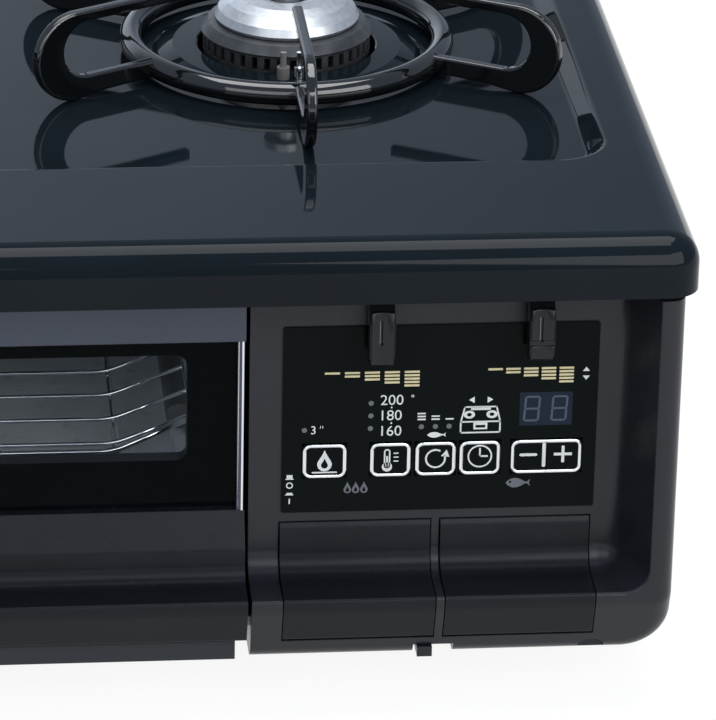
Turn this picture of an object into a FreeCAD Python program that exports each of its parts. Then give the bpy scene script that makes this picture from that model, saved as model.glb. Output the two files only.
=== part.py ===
import FreeCAD, Part
import math
import os
import Sketcher

# A two burner table gas stove with a fish grill drawer.
# Millimetres. +Z is up, the front faces -Y, the right hand side is +X.
# The origin is under the middle of the stove, on the surface that the feet stand on.

doc = FreeCAD.newDocument("gas_stove")
sheet = doc.addObject("Spreadsheet::Sheet", "sizes")
vector = FreeCAD.Vector


class Size:
    """A length that knows its value and the sheet expression that gives it."""

    def __init__(self, value, text):
        self.value = float(value)
        self.text = text

    def __add__(self, other):
        other = as_size(other)
        return Size(self.value + other.value, "(%s + %s)" % (self.text, other.text))

    def __radd__(self, other):
        return as_size(other) + self

    def __sub__(self, other):
        other = as_size(other)
        return Size(self.value - other.value, "(%s - %s)" % (self.text, other.text))

    def __rsub__(self, other):
        return as_size(other) - self

    def __mul__(self, other):
        other = as_size(other)
        return Size(self.value * other.value, "(%s * %s)" % (self.text, other.text))

    def __rmul__(self, other):
        return as_size(other) * self

    def __truediv__(self, other):
        other = as_size(other)
        return Size(self.value / other.value, "(%s / %s)" % (self.text, other.text))

    def __neg__(self):
        return Size(-self.value, "(0 - %s)" % self.text)


def as_size(number):
    """A plain number as a size."""
    if isinstance(number, Size):
        return number
    return Size(number, "(%r)" % float(number))


class Sizes:
    """The driving dimensions, one attribute for each alias of the sheet."""


s = Sizes()

driving_sizes = [
    # top plate
    ("plate_width", 596), ("plate_depth", 446), ("plate_top", 191.5), ("plate_edge", 22),
    ("plate_corner", 12), ("plate_wall", 1.2), ("lip_set_back", 1.5),
    ("basin_half_width", 275), ("basin_front_gap", 81), ("basin_rear_gap", 98),
    ("basin_depth", 5), ("basin_slope", 6), ("basin_corner", 20), ("basin_round", 3),
    # cabinet
    ("body_half_width", 293), ("body_bottom", 22), ("body_front", 44.5), ("body_back_gap", 28),
    ("sheet_wall", 1), ("shelf_drop", 24), ("shelf_step", 9), ("beam_offset", 59.5),
    ("foot_radius", 15), ("foot_taper", 2), ("foot_inset_x", 38), ("foot_inset_y", 40),
    ("pan_rim", 10), ("screw_radius", 2), ("screw_head", 4), ("screw_gap", 0.15),
    ("screw_head_thick", 2.2), ("screw_inner", 60), ("screw_middle", 150), ("screw_outer", 235),
    # fascias
    ("fascia_inner", 136), ("panel_set_back", 25.5), ("fascia_top_gap", 2),
    ("fascia_wall", 2.5), ("panel_edge", 273), ("rim_edge", 284), ("fascia_corner", 18),
    ("rim_round", 7), ("recess_round", 9), ("crest_round", 1.5), ("crest_bend", 12),
    ("membrane_left", 148.1), ("membrane_right", 264.9), ("membrane_bottom", 75),
    ("membrane_top", 150), ("membrane_thick", 0.8), ("notch_gap", 1.5), ("post_radius", 3),
    ("drain_left", 258.7), ("drain_right", 268.9), ("drain_height", 5.5),
    # push buttons and battery drawer front
    ("button_inner", 147.8), ("button_middle", 204), ("button_split", 207.8), ("button_outer", 263.7),
    ("button_top", 70.6), ("button_bottom", 31), ("button_gap", 0.4), ("button_wall", 2.5),
    ("button_back", 11), ("lip_top", 50), ("lip_drop", 4), ("lip_foot", 9), ("stem_radius", 4),
    ("stem_height", 55), ("stem_bore_gap", 0.4), ("stem_reach", 14), ("button_travel", 8),
    ("brow_drop", 2), ("brow_proud", 1.2), ("brow_round", 4), ("sway_round", 8), ("sway_rise", 1),
    ("sway_slope", 0.3), ("lip_round", 1.5),
    # touch keys, from the left one to the right one, and the display above them
    ("high_heat_left", 155.9), ("high_heat_right", 172.1),
    ("temperature_left", 180.9), ("temperature_right", 195.9),
    ("auto_left", 197.7), ("auto_right", 212.7), ("timer_left", 214.1), ("timer_right", 229.3),
    ("minus_left", 233.3), ("minus_right", 246.4), ("plus_left", 246.6), ("plus_right", 259.7),
    ("key_bottom", 89.2), ("key_top", 102.9), ("key_gap", 0.3), ("key_proud", 0.5),
    ("key_travel", 0.5), ("key_rest_gap", 0.3), ("key_round", 1.5),
    ("display_left", 236), ("display_right", 256), ("display_bottom", 108), ("display_top", 122),
    ("board_gap", 2.9), ("board_thick", 1.6), ("board_margin", 2), ("switch_height", 1.8),
    ("switch_half", 3),
    # heat levers and valves
    ("right_lever_x", 183.3), ("grill_lever_x", 241.9), ("lever_pivot", 112.5), ("lever_width", 9.3),
    ("lever_bottom", 139.5), ("lever_top", 165.3), ("lever_gap", 5), ("lever_thick", 8),
    ("arm_low", 160), ("arm_thick", 3.5), ("arm_width", 8), ("hub_radius", 7),
    ("spindle_radius", 3), ("spindle_fit", 0.05), ("lever_reach_left", 24), ("lever_reach_right", 20),
    ("valve_width", 32), ("valve_depth", 66), ("valve_low", 44), ("valve_high", 70),
    ("valve_start", 12), ("valve_foot_inset", 6), ("valve_foot_start", 8), ("valve_foot_length", 22),
    ("tower_radius", 11), ("tower_top", 157.4), ("nozzle_radius", 5), ("nozzle_length", 13),
    # burners
    ("burner_x", 164), ("burner_back", 212), ("plate_hole", 44), ("tube_height", 112),
    ("tube_radius", 12), ("tube_wall", 3), ("cup_radius", 30), ("cup_wall", 3),
    ("rail_top", 158), ("rail_thick", 1.5), ("rail_half", 22), ("flange_radius", 42),
    ("flange_height", 169.5), ("flange_thick", 3),
    ("head_radius", 33), ("head_port_radius", 25), ("head_height", 14), ("port_width", 2.4),
    ("port_height", 5), ("port_count", 40), ("cap_radius", 28.5), ("cap_height", 10),
    ("cap_hole", 9.2), ("sensor_radius", 5), ("sensor_head", 8.5), ("sensor_head_thick", 3),
    ("sensor_top", 226.5), ("sensor_fit", 0.3), ("sensor_travel", 6),
    ("seal_inner", 35.2), ("seal_outer", 53), ("seal_height", 3.6), ("probe_ring", 39),
    ("electrode_radius", 2.5), ("thermocouple_radius", 2), ("probe_gap", 0.3), ("probe_low", 161.5),
    # trivets
    ("ring_radius", 61.5), ("ring_bar", 4.5), ("claw_count", 6), ("claw_thick", 4.2),
    ("claw_outer", 117), ("claw_top", 36), ("claw_tip", 47), ("prong_height", 4.6),
    ("arm_height", 9.4), ("claw_width", 12.5), ("claw_round", 1.2), ("seat_gap", 0.2),
    # grill
    ("box_half_width", 123), ("box_front", 38.5), ("box_back", 354), ("box_low", 60), ("box_high", 147),
    ("door_half_width", 134.6), ("door_bottom", 26), ("door_top", 166.5), ("door_thick", 7),
    ("glass_half_width", 131.6), ("glass_bottom", 76.4), ("glass_top", 145), ("glass_thick", 4),
    ("window_half_width", 113.4), ("window_bottom", 95.4), ("window_top", 138), ("window_corner", 3),
    ("trim_proud", 1), ("trim_wall", 1.6), ("skirt_half_width", 130.5), ("skirt_top", 29.5),
    ("rail_bar", 2), ("rail_low", 70), ("rail_high", 78), ("rail_reach", 256), ("guide_gap", 0.3),
    ("guide_thick", 1.7), ("pan_half_width", 113), ("pan_depth", 15), ("pan_length", 240),
    ("rack_height", 91), ("wire_radius", 1.3), ("frame_wire", 1.7), ("rack_flat", 86),
    ("rack_half_width", 103), ("rack_rise", 7), ("rack_pitch", 14), ("rack_wires", 15),
    ("rack_start", 24), ("upper_half_width", 78), ("upper_depth", 12), ("upper_start", 71.5),
    ("upper_length", 180), ("side_burner_radius", 5), ("side_burner_x", 114), ("side_burner_z", 88),
    ("handle_brow_drop", 13.5), ("handle_brow_proud", 7), ("handle_sway", 6),
    ("leg_front", 6), ("leg_rear", 290), ("leg_length", 22),
    ("upper_slot_count", 9), ("upper_slot_pitch", 18), ("upper_slot_width", 8),
    ("pipe_reach", 12), ("side_burner_start", 45),
    ("duct_half_width", 101), ("duct_depth", 61), ("duct_low", 100), ("vent_half_width", 96),
    ("vent_start", 364), ("vent_depth", 40), ("cover_margin", 9), ("cover_height", 9),
    ("vent_slots", 16), ("vent_slot_width", 6),
    # gas pipes, ignition and battery
    ("manifold_y", 109.5), ("manifold_low", 27), ("manifold_size", 12), ("pipe_radius", 6),
    ("inlet_x", 276), ("inlet_z", 40), ("nozzle_pin", 4.75), ("nozzle_pin_length", 20),
    ("pipe_hole_gap", 2.3), ("grill_pipe", 5), ("grill_pipe_gap", 20),
    ("cell_radius", 16.5), ("cell_length", 61.5), ("cell_gap", 0.5), ("cell_contact", 4.5),
    ("sleeve_wall", 1.5), ("tray_wall", 1.5),
    ("igniter_outer", 270), ("igniter_inner", 215), ("igniter_depth", 38), ("igniter_top", 60),
    ("lead_radius", 1.6), ("lead_low", 50), ("lead_level", 134), ("lead_left", 240),
    ("lead_right", 212), ("lead_board", 205.9), ("lead_board_height", 84),
    ("slot_left", 196.9), ("slot_right", 212), ("nub_left", 198.3), ("nub_width", 5.6),
]

for row, (alias, number) in enumerate(driving_sizes, start=1):
    cell = "A%d" % row
    sheet.set(cell, str(number))
    sheet.setAlias(cell, alias)
    setattr(s, alias, Size(number, "sizes." + alias))
doc.recompute()

sub_parts = []


def keep(node, piece):
    """Give a finished sub-part the label that names its file."""
    piece.Label = node
    sub_parts.append(piece)
    return piece


def bind(piece, setting, size):
    """Bind one property of an object to the sheet."""
    piece.setExpression(setting, as_size(size).text)


def place(piece, x, y, z):
    """Bind an object's position to the sheet."""
    for axis, size in zip("xyz", (x, y, z)):
        bind(piece, "Placement.Base." + axis, size)


def ordered(span):
    """The two ends of a span, the lower one first."""
    low, high = as_size(span[0]), as_size(span[1])
    if low.value > high.value:
        low, high = high, low
    return low, high


def box(name, x_span, y_span, z_span):
    """A block between two limits on each axis."""
    piece = doc.addObject("Part::Box", name)
    starts = []
    for setting, span in zip(("Length", "Width", "Height"), (x_span, y_span, z_span)):
        low, high = ordered(span)
        bind(piece, setting, high - low)
        starts.append(low)
    place(piece, *starts)
    return piece


turns = {
    "x": FreeCAD.Rotation(vector(0, 1, 0), 90),
    "y": FreeCAD.Rotation(vector(1, 0, 0), -90),
    "z": FreeCAD.Rotation(),
}


def cylinder(name, axis, radius, span, first, second, top_radius=None):
    """A round bar, or a cone, along an axis; first and second are its other two coordinates."""
    low, high = ordered(span)
    kind = "Part::Cylinder" if top_radius is None else "Part::Cone"
    piece = doc.addObject(kind, name)
    bind(piece, "Radius" if top_radius is None else "Radius1", radius)
    if top_radius is not None:
        bind(piece, "Radius2", top_radius)
    bind(piece, "Height", high - low)
    piece.Placement = FreeCAD.Placement(vector(), turns[axis])
    position = {"x": (low, first, second), "y": (first, low, second), "z": (first, second, low)}
    place(piece, *position[axis])
    return piece


def fuse(name, pieces):
    """Several pieces joined into one."""
    piece = doc.addObject("Part::MultiFuse", name)
    piece.Shapes = pieces
    return piece


def cut(name, base, tools):
    """A piece with one or more others taken away."""
    tool = tools[0]
    if len(tools) > 1:
        tool = fuse(name + "_tools", tools)
    piece = doc.addObject("Part::Cut", name)
    piece.Base = base
    piece.Tool = tool
    return piece


def group(name, pieces):
    """Alike pieces kept as separate solids of one sub-part."""
    piece = doc.addObject("Part::Compound", name)
    piece.Links = pieces
    return piece


planes = {"x": "YZ_Plane", "y": "XZ_Plane", "z": "XY_Plane"}


def origin_feature(body, role):
    """A body's own origin plane or axis."""
    for feature in body.Origin.OriginFeatures:
        if feature.Role == role:
            return feature


def outline_sketch(body, axis, corners, offset):
    """A closed outline of straight edges, square to an axis, with every corner bound to the sheet."""
    sketch = body.newObject("Sketcher::SketchObject", body.Name + "_outline")
    sketch.AttachmentSupport = [(origin_feature(body, planes[axis]), "")]
    sketch.MapMode = "FlatFace"
    bind(sketch, "AttachmentOffset.Base.z", offset)
    corners = [(as_size(across), as_size(up)) for across, up in corners]
    points = [vector(across.value, up.value, 0) for across, up in corners]
    count = len(points)
    for index in range(count):
        sketch.addGeometry(Part.LineSegment(points[index], points[(index + 1) % count]))
    for index in range(count):
        sketch.addConstraint(Sketcher.Constraint("Coincident", index, 2, (index + 1) % count, 1))
    for index, corner in enumerate(corners):
        for kind, size in zip(("DistanceX", "DistanceY"), corner):
            number = sketch.addConstraint(Sketcher.Constraint(kind, -1, 1, index, 1, size.value))
            name = "corner%d_%s" % (index, kind[-1])
            sketch.renameConstraint(number, name)
            sketch.setExpression("Constraints." + name, size.text)
    return sketch


def corner_edges(shape, axis, spots):
    """The names of the edges that run along an axis through the given outline corners."""
    pick = {"x": lambda p: (p.y, p.z), "y": lambda p: (p.x, p.z), "z": lambda p: (p.x, p.y)}[axis]
    near = 0.01
    names = []
    for number, edge in enumerate(shape.Edges, start=1):
        ends = [pick(v.Point) for v in edge.Vertexes]
        if len(ends) < 2 or math.dist(ends[0], ends[1]) > near:
            continue
        if any(math.dist(ends[0], spot) < near for spot in spots):
            names.append("Edge%d" % number)
    return names


def outline_body(name, axis, corners, span, rounds=()):
    """An outline pushed along an axis, with some of its corners rounded."""
    low, high = ordered(span)
    body = doc.addObject("PartDesign::Body", name)
    # the plane square to Y faces the front, so its pad runs from the rear limit forwards
    offset = -high if axis == "y" else low
    sketch = outline_sketch(body, axis, corners, offset)
    pad = body.newObject("PartDesign::Pad", name + "_pad")
    pad.Profile = sketch
    bind(pad, "Length", high - low)
    doc.recompute()
    feature = pad
    for number, (radius, indexes) in enumerate(rounds):
        spots = [tuple(as_size(c).value for c in corners[index]) for index in indexes]
        fillet = body.newObject("PartDesign::Fillet", "%s_round%d" % (name, number))
        fillet.Base = (feature, corner_edges(feature.Shape, axis, spots))
        bind(fillet, "Radius", radius)
        doc.recompute()
        feature = fillet
    body.Tip = feature
    return body


def rounded_box(name, axis, x_span, y_span, z_span, radius):
    """A block whose four edges along one axis are rounded."""
    spans = {"x": (y_span, z_span, x_span), "y": (x_span, z_span, y_span), "z": (x_span, y_span, z_span)}
    across, up, along = spans[axis]
    left, right = ordered(across)
    low, high = ordered(up)
    corners = [(left, low), (right, low), (right, high), (left, high)]
    return outline_body(name, axis, corners, along, [(radius, (0, 1, 2, 3))])


def turned_body(name, corners, x, y, z):
    """An outline of radius and height, turned about a vertical axis that stands at x, y, z."""
    body = doc.addObject("PartDesign::Body", name)
    sketch = outline_sketch(body, "y", corners, 0)
    turn = body.newObject("PartDesign::Revolution", name + "_turn")
    turn.Profile = sketch
    turn.ReferenceAxis = (sketch, ["V_Axis"])
    turn.Angle = 360
    body.Tip = turn
    place(body, x, y, z)
    doc.recompute()
    return body


def soften(name, base, radius, picker):
    """A piece whose chosen edges are rounded."""
    doc.recompute()
    piece = doc.addObject("Part::Fillet", name)
    piece.Base = base
    size = as_size(radius).value
    chosen = [n for n, edge in enumerate(base.Shape.Edges, start=1) if picker(edge)]
    piece.Edges = [(number, size, size) for number in chosen]
    return piece


def bent_tube(name, points, radius, bend):
    """A round bar along straight runs that are joined by arcs of one bend radius."""
    spots = [vector(*[as_size(c).value for c in point]) for point in points]
    size = as_size(radius).value
    bend = as_size(bend).value
    edges = []
    start = spots[0]
    for before, spot, after in zip(spots, spots[1:], spots[2:]):
        arriving = (spot - before).normalize()
        leaving = (after - spot).normalize()
        turn = arriving.getAngle(leaving)
        reach = bend * math.tan(turn / 2)
        first = spot - arriving * reach
        last = spot + leaving * reach
        inward = (leaving - arriving).normalize()
        middle = spot + inward * (bend / math.cos(turn / 2) - bend)
        edges.append(Part.LineSegment(start, first).toShape())
        edges.append(Part.Arc(first, middle, last).toShape())
        start = last
    edges.append(Part.LineSegment(start, spots[-1]).toShape())
    path = Part.Wire(edges)
    ring = Part.Wire([Part.makeCircle(size, spots[0], spots[1] - spots[0])])
    piece = doc.addObject("Part::Feature", name)
    piece.Shape = path.makePipeShell([ring], True, False)
    return piece


# derived places, all measured from the sizes above

plate_half = s.plate_width / 2
plate_front = -s.plate_depth / 2
plate_rear = s.plate_depth / 2
front = plate_front + s.lip_set_back
plate_low = s.plate_top - s.plate_edge
plate_under = s.plate_top - s.plate_wall
basin_front = plate_front + s.basin_front_gap
basin_rear = plate_rear - s.basin_rear_gap
basin_floor = s.plate_top - s.basin_depth
panel = plate_front + s.panel_set_back
lip_crest = s.lip_top - s.lip_drop
lip_under = s.lip_foot * (lip_crest - s.button_bottom) / (lip_crest - s.body_bottom)
body_front = plate_front + s.body_front
body_rear = plate_rear - s.body_back_gap
burner_y = plate_front + s.burner_back
vent_front = plate_front + s.vent_start
vent_rear = vent_front + s.vent_depth
fascia_top = plate_low - s.fascia_top_gap
pivot_y = plate_front + s.lever_pivot
box_front = plate_front + s.box_front
box_back = plate_front + s.box_back
tower_nozzle_end = pivot_y + s.tower_radius + s.nozzle_length
door_back = panel + s.glass_thick + s.door_thick
pan_floor_top = s.body_bottom + s.sheet_wall
button_rear = panel + s.button_back
board_front = panel + s.fascia_wall + s.board_gap


def basin_tool(name, top, growth, radius):
    """The stamped basin as a solid with sloping sides and a rounded floor."""
    half = s.basin_half_width + growth
    near, far = basin_front - growth, basin_rear + growth
    body = doc.addObject("PartDesign::Body", name)
    sections = []
    for step, (shrink, level) in enumerate(((as_size(0), top), (s.basin_slope, top - s.basin_depth))):
        sketch = body.newObject("Sketcher::SketchObject", "%s_section%d" % (name, step))
        sketch.AttachmentSupport = [(origin_feature(body, "XY_Plane"), "")]
        sketch.MapMode = "FlatFace"
        bind(sketch, "AttachmentOffset.Base.z", level)
        rounded_rectangle(sketch, -half + shrink, half - shrink, near + shrink, far - shrink,
                          s.basin_corner + growth - shrink)
        sections.append(sketch)
    loft = body.newObject("PartDesign::AdditiveLoft", name + "_loft")
    loft.Profile = sections[0]
    loft.Sections = [sections[1]]
    loft.Ruled = True
    body.Tip = loft
    floor = (top - s.basin_depth).value

    def on_floor(edge):
        return edge.BoundBox.ZMax < floor + 0.01

    return soften(name + "_rounded", body, radius, on_floor)


def rounded_rectangle(sketch, left, right, near, far, radius):
    """A rectangle with four round corners, every line and arc bound to the sheet."""
    x0, x1, y0, y1, r = left.value, right.value, near.value, far.value, radius.value
    lines = [((x0 + r, y0), (x1 - r, y0)), ((x1, y0 + r), (x1, y1 - r)),
             ((x1 - r, y1), (x0 + r, y1)), ((x0, y1 - r), (x0, y0 + r))]
    for start, end in lines:
        sketch.addGeometry(Part.LineSegment(vector(*start, 0), vector(*end, 0)))
    centres = [(x1 - r, y0 + r), (x1 - r, y1 - r), (x0 + r, y1 - r), (x0 + r, y0 + r)]
    for quarter, centre in enumerate(centres):
        circle = Part.Circle(vector(*centre, 0), vector(0, 0, 1), r)
        angle = math.radians(90 * (quarter - 1))
        sketch.addGeometry(Part.ArcOfCircle(circle, angle, angle + math.radians(90)))
    for quarter in range(4):
        arc = 4 + quarter
        sketch.addConstraint(Sketcher.Constraint("Tangent", quarter, 2, arc, 1))
        sketch.addConstraint(Sketcher.Constraint("Tangent", arc, 2, (quarter + 1) % 4, 1))
        if quarter < 3:
            sketch.addConstraint(Sketcher.Constraint("Equal", arc, arc + 1))
    for line, kind in enumerate(("Horizontal", "Vertical", "Horizontal")):
        sketch.addConstraint(Sketcher.Constraint(kind, line))
    limits = [("right", "DistanceX", 1, right), ("left", "DistanceX", 3, left),
              ("near", "DistanceY", 0, near), ("far", "DistanceY", 2, far)]
    for name, kind, line, size in limits:
        number = sketch.addConstraint(Sketcher.Constraint(kind, -1, 1, line, 1, size.value))
        sketch.renameConstraint(number, name)
        sketch.setExpression("Constraints." + name, size.text)
    number = sketch.addConstraint(Sketcher.Constraint("Radius", 4, r))
    sketch.renameConstraint(number, "corner")
    sketch.setExpression("Constraints.corner", radius.text)


def rounded_tray(name, margin, low, high, top_round):
    """The outer form of the top plate, or its hollow, with a rounded rim."""
    radius = s.plate_corner - margin
    block = rounded_box(name, "z", (-plate_half + margin, plate_half - margin),
                        (plate_front + margin, plate_rear - margin), (low, high), radius)
    top = high.value

    def on_top(edge):
        return edge.BoundBox.ZMin > top - 0.01

    return soften(name + "_rounded", block, top_round, on_top)


def make_top_plate():
    """The enamelled top with its basin, two burner holes and the grill vent."""
    skin = rounded_tray("plate_skin", as_size(0), plate_low, s.plate_top, s.plate_corner - 0.1)
    hollow = rounded_tray("plate_hollow", s.plate_wall, plate_low - 1, plate_under,
                          s.plate_corner - s.plate_wall - 0.1)
    basin = basin_tool("basin", s.plate_top, as_size(0), s.basin_round)
    under = basin_tool("basin_under", plate_under, s.plate_wall, s.basin_round + s.plate_wall)
    room = cut("plate_room", hollow, [under])
    holes = [cylinder("plate_hole_%s" % side, "z", s.plate_hole, (basin_floor - 5, s.plate_top),
                      sign * s.burner_x, burner_y) for side, sign in (("right", 1), ("left", -1))]
    vent = rounded_box("plate_vent", "z", (-s.vent_half_width, s.vent_half_width),
                       (vent_front, vent_rear), (plate_under - 5, s.plate_top + 1), as_size(4))
    plate = cut("plate_raw", skin, [room, basin, vent] + holes)
    top = s.plate_top.value
    reach = (s.basin_half_width.value, basin_front.value, basin_rear.value)

    def on_basin_rim(edge):
        limits = edge.BoundBox
        level = limits.ZMin > top - 0.01
        inside = max(abs(limits.XMin), abs(limits.XMax)) < reach[0] + 0.01
        return level and inside and limits.YMin > reach[1] - 0.01 and limits.YMax < reach[2] + 0.01

    keep("top_plate", soften("top_plate", plate, s.basin_round, on_basin_rim))


def make_cabinet():
    """The sheet metal shell, its floor pan, the feet and the burner rail."""
    wide = s.body_half_width
    shelf = s.plate_top - s.shelf_drop
    narrow = wide - s.shelf_step
    walls = []
    for side, sign in (("right", 1), ("left", -1)):
        walls.append(box("shell_side_" + side, (sign * wide, sign * (wide - s.sheet_wall)),
                         (body_front, body_rear), (s.body_bottom, shelf)))
        walls.append(box("shell_shelf_" + side, (sign * wide, sign * (narrow - s.sheet_wall)),
                         (body_front, body_rear), (shelf - s.sheet_wall, shelf)))
        walls.append(box("shell_upper_" + side, (sign * narrow, sign * (narrow - s.sheet_wall)),
                         (body_front, body_rear), (shelf - s.sheet_wall, plate_under)))
    walls.append(box("shell_back", (-wide, wide), (body_rear - s.sheet_wall, body_rear),
                     (s.body_bottom, shelf)))
    walls.append(box("shell_back_upper", (-narrow, narrow), (body_rear - s.sheet_wall, body_rear),
                     (shelf - s.sheet_wall, plate_under)))
    beam = plate_front + s.beam_offset
    walls.append(box("shell_beam", (-narrow, narrow), (beam, beam + s.sheet_wall),
                     (plate_low, plate_under)))
    shell = fuse("shell_sheet", walls)

    screw_z = s.body_bottom + s.pan_rim
    screw_x = [sign * spot for spot in (s.screw_inner, s.screw_middle, s.screw_outer) for sign in (-1, 1)]
    shell_holes = []
    rim_holes = []
    screws = []
    hole = s.screw_radius + s.screw_gap
    for number, x in enumerate(screw_x):
        shell_holes.append(cylinder("shell_hole%d" % number, "y", hole,
                                    (body_rear - 2 * s.sheet_wall, body_rear + 1), x, screw_z))
        rim_holes.append(cylinder("rim_hole%d" % number, "y", hole,
                                  (body_rear - 3 * s.sheet_wall, body_rear), x, screw_z))
        shank = cylinder("screw_shank%d" % number, "y", s.screw_radius,
                         (body_rear - 6 * s.sheet_wall, body_rear + 1), x, screw_z)
        head = cylinder("screw_head%d" % number, "y", s.screw_head,
                        (body_rear, body_rear + s.screw_head_thick), x, screw_z)
        screws.append(fuse("screw%d" % number, [shank, head]))
    inlet_hole = cylinder("inlet_hole", "y", s.pipe_radius + s.pipe_hole_gap,
                          (body_rear - 2 * s.sheet_wall, body_rear + 1), s.inlet_x, s.inlet_z)
    keep("body_shell", cut("body_shell", shell, shell_holes + [inlet_hole]))
    keep("back_screws", group("back_screws", screws))

    inside = wide - s.sheet_wall
    rim_top = pan_floor_top + s.pan_rim
    back = body_rear - s.sheet_wall
    skirt_front = front + s.lip_foot
    floor = [box("pan_floor", (-inside, inside), (body_front, back), (s.body_bottom, pan_floor_top)),
             box("pan_rim_right", (inside, inside - s.sheet_wall), (body_front, back),
                 (s.body_bottom, rim_top)),
             box("pan_rim_left", (-inside, -inside + s.sheet_wall), (body_front, back),
                 (s.body_bottom, rim_top)),
             box("pan_rim_back", (-inside, inside), (back - s.sheet_wall, back),
                 (s.body_bottom, rim_top + s.pan_rim)),
             box("pan_tongue", (-s.skirt_half_width, s.skirt_half_width), (skirt_front, body_front + 1),
                 (s.body_bottom, pan_floor_top)),
             box("pan_skirt", (-s.skirt_half_width, s.skirt_half_width),
                 (skirt_front, skirt_front + s.sheet_wall), (s.body_bottom, s.skirt_top))]
    inlet_notch = cylinder("inlet_notch", "y", s.pipe_radius + s.pipe_hole_gap,
                           (body_rear - 4 * s.sheet_wall, body_rear), s.inlet_x, s.inlet_z)
    keep("bottom_pan", cut("bottom_pan", fuse("pan_sheet", floor), rim_holes + [inlet_notch]))

    feet = []
    for x in (s.foot_inset_x - wide, wide - s.foot_inset_x):
        for y in (body_front + s.foot_inset_y, body_rear - s.foot_inset_y):
            feet.append(cylinder("foot%d" % len(feet), "z", s.foot_radius - s.foot_taper,
                                 (0, s.body_bottom), x, y, s.foot_radius))
    keep("feet", group("feet", feet))

    rail_low = s.rail_top - s.rail_thick
    rail = [box("rail_strip", (-inside, inside), (burner_y - s.rail_half, burner_y + s.rail_half),
                (rail_low, s.rail_top))]
    for side, sign in (("right", 1), ("left", -1)):
        rail.append(box("rail_tab_" + side, (sign * inside, sign * (inside - s.rail_thick)),
                        (burner_y - s.rail_half, burner_y + s.rail_half), (rail_low - 10, s.rail_top)))
    bores = [cylinder("rail_bore_" + side, "z", s.tube_radius + 0.5, (rail_low - 1, s.rail_top + 1),
                      sign * s.burner_x, burner_y) for side, sign in (("right", 1), ("left", -1))]
    keep("burner_rail", cut("burner_rail", fuse("rail_sheet", rail), bores))


def front_profile(top, brow_z, brow_y, back):
    """The side outline of a button or handle front, from its top down to the lip."""
    return [(panel, top), (panel - brow_y, brow_z), (panel - brow_y - s.sway_slope, s.lip_top + s.sway_rise),
            (front, s.lip_top), (front, lip_crest), (front + lip_under, s.button_bottom),
            (back, s.button_bottom), (back, top)]


def hollow_profile(top, brow_z, brow_y, back):
    """The hollow behind such a front, a wall smaller all round."""
    wall = s.button_wall
    thick = wall + 0.5
    return [(panel + 1, top - wall), (panel - brow_y + thick, brow_z - wall),
            (panel - brow_y - s.sway_slope + thick, s.lip_top + s.sway_rise - wall + 0.5),
            (front + thick, s.lip_top - wall), (front + thick, lip_crest - 1),
            (front + lip_under + wall, s.button_bottom + wall), (back + 1, s.button_bottom + wall),
            (back + 1, top - wall)]


def front_shell(name, x_span, top, brow_z, brow_y, back, sway_round):
    """A moulded front with a lip to push or pull on, hollow from behind."""
    left, right = ordered(x_span)
    wall = s.button_wall
    skin = outline_body(name + "_skin", "x", front_profile(top, brow_z, brow_y, back), (left, right),
                        [(s.brow_round, (1,)), (sway_round, (2,)), (s.lip_round, (3, 5)),
                         (s.crest_bend, (4,))])
    hollow = outline_body(name + "_hollow", "x", hollow_profile(top, brow_z, brow_y, back),
                          (left + wall, right - wall))
    return cut(name + "_shell", skin, [hollow])


def make_button(node, x_span):
    """A push button with the stem that reaches into its valve."""
    left, right = ordered(x_span)
    shell = front_shell(node, (left, right), s.button_top, s.button_top - s.brow_drop, s.brow_proud,
                        button_rear, s.sway_round)
    middle = (left + right) / 2
    stem = cylinder(node + "_stem", "y", s.stem_radius, (panel - s.brow_proud, body_front + s.stem_reach),
                    middle, s.stem_height)
    keep(node, fuse(node, [shell, stem]))


key_spans = {
    "key_high_heat": (s.high_heat_left, s.high_heat_right),
    "key_temperature": (s.temperature_left, s.temperature_right),
    "key_auto": (s.auto_left, s.auto_right),
    "key_timer": (s.timer_left, s.timer_right),
    "key_minus": (s.minus_left, s.minus_right),
    "key_plus": (s.plus_left, s.plus_right),
}


def lever_notch(name, x):
    """The opening above the panel that a heat lever moves in."""
    return box(name, (x - s.lever_reach_left, x + s.lever_reach_right), (plate_front - 1, body_front + 1),
               (s.arm_low - s.notch_gap, fascia_top + 1))


def fascia_block(node, sign):
    """The full form of a fascia: a rim in front with a lip that leans back towards its foot."""
    wide = s.body_half_width
    block = outline_body(node + "_block", "x",
                         [(front, fascia_top), (front, lip_crest), (front + s.lip_foot, s.body_bottom),
                          (body_front, s.body_bottom), (body_front, fascia_top)],
                         (sign * s.fascia_inner, sign * wide), [(s.crest_bend, (1,))])
    corner_x, low, rear = (sign * wide).value, s.body_bottom.value, body_front.value

    def outer_corner(edge):
        limits = edge.BoundBox
        return (abs(limits.XMin - corner_x) + abs(limits.XMax - corner_x) < 0.01
                and abs(limits.ZMin - low) + abs(limits.ZMax - low) < 0.01)

    def rim_edges(edge):
        limits = edge.BoundBox
        ahead = limits.YMax < rear - 10
        outside = max(abs(limits.XMin), abs(limits.XMax)) > abs(corner_x) - 25
        upright = limits.XMax - limits.XMin < 25
        return ahead and outside and (upright or limits.ZMax < low + 1)

    block = soften(node + "_corner", block, s.fascia_corner, outer_corner)
    return soften(node + "_rim", block, s.rim_round, rim_edges)


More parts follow.
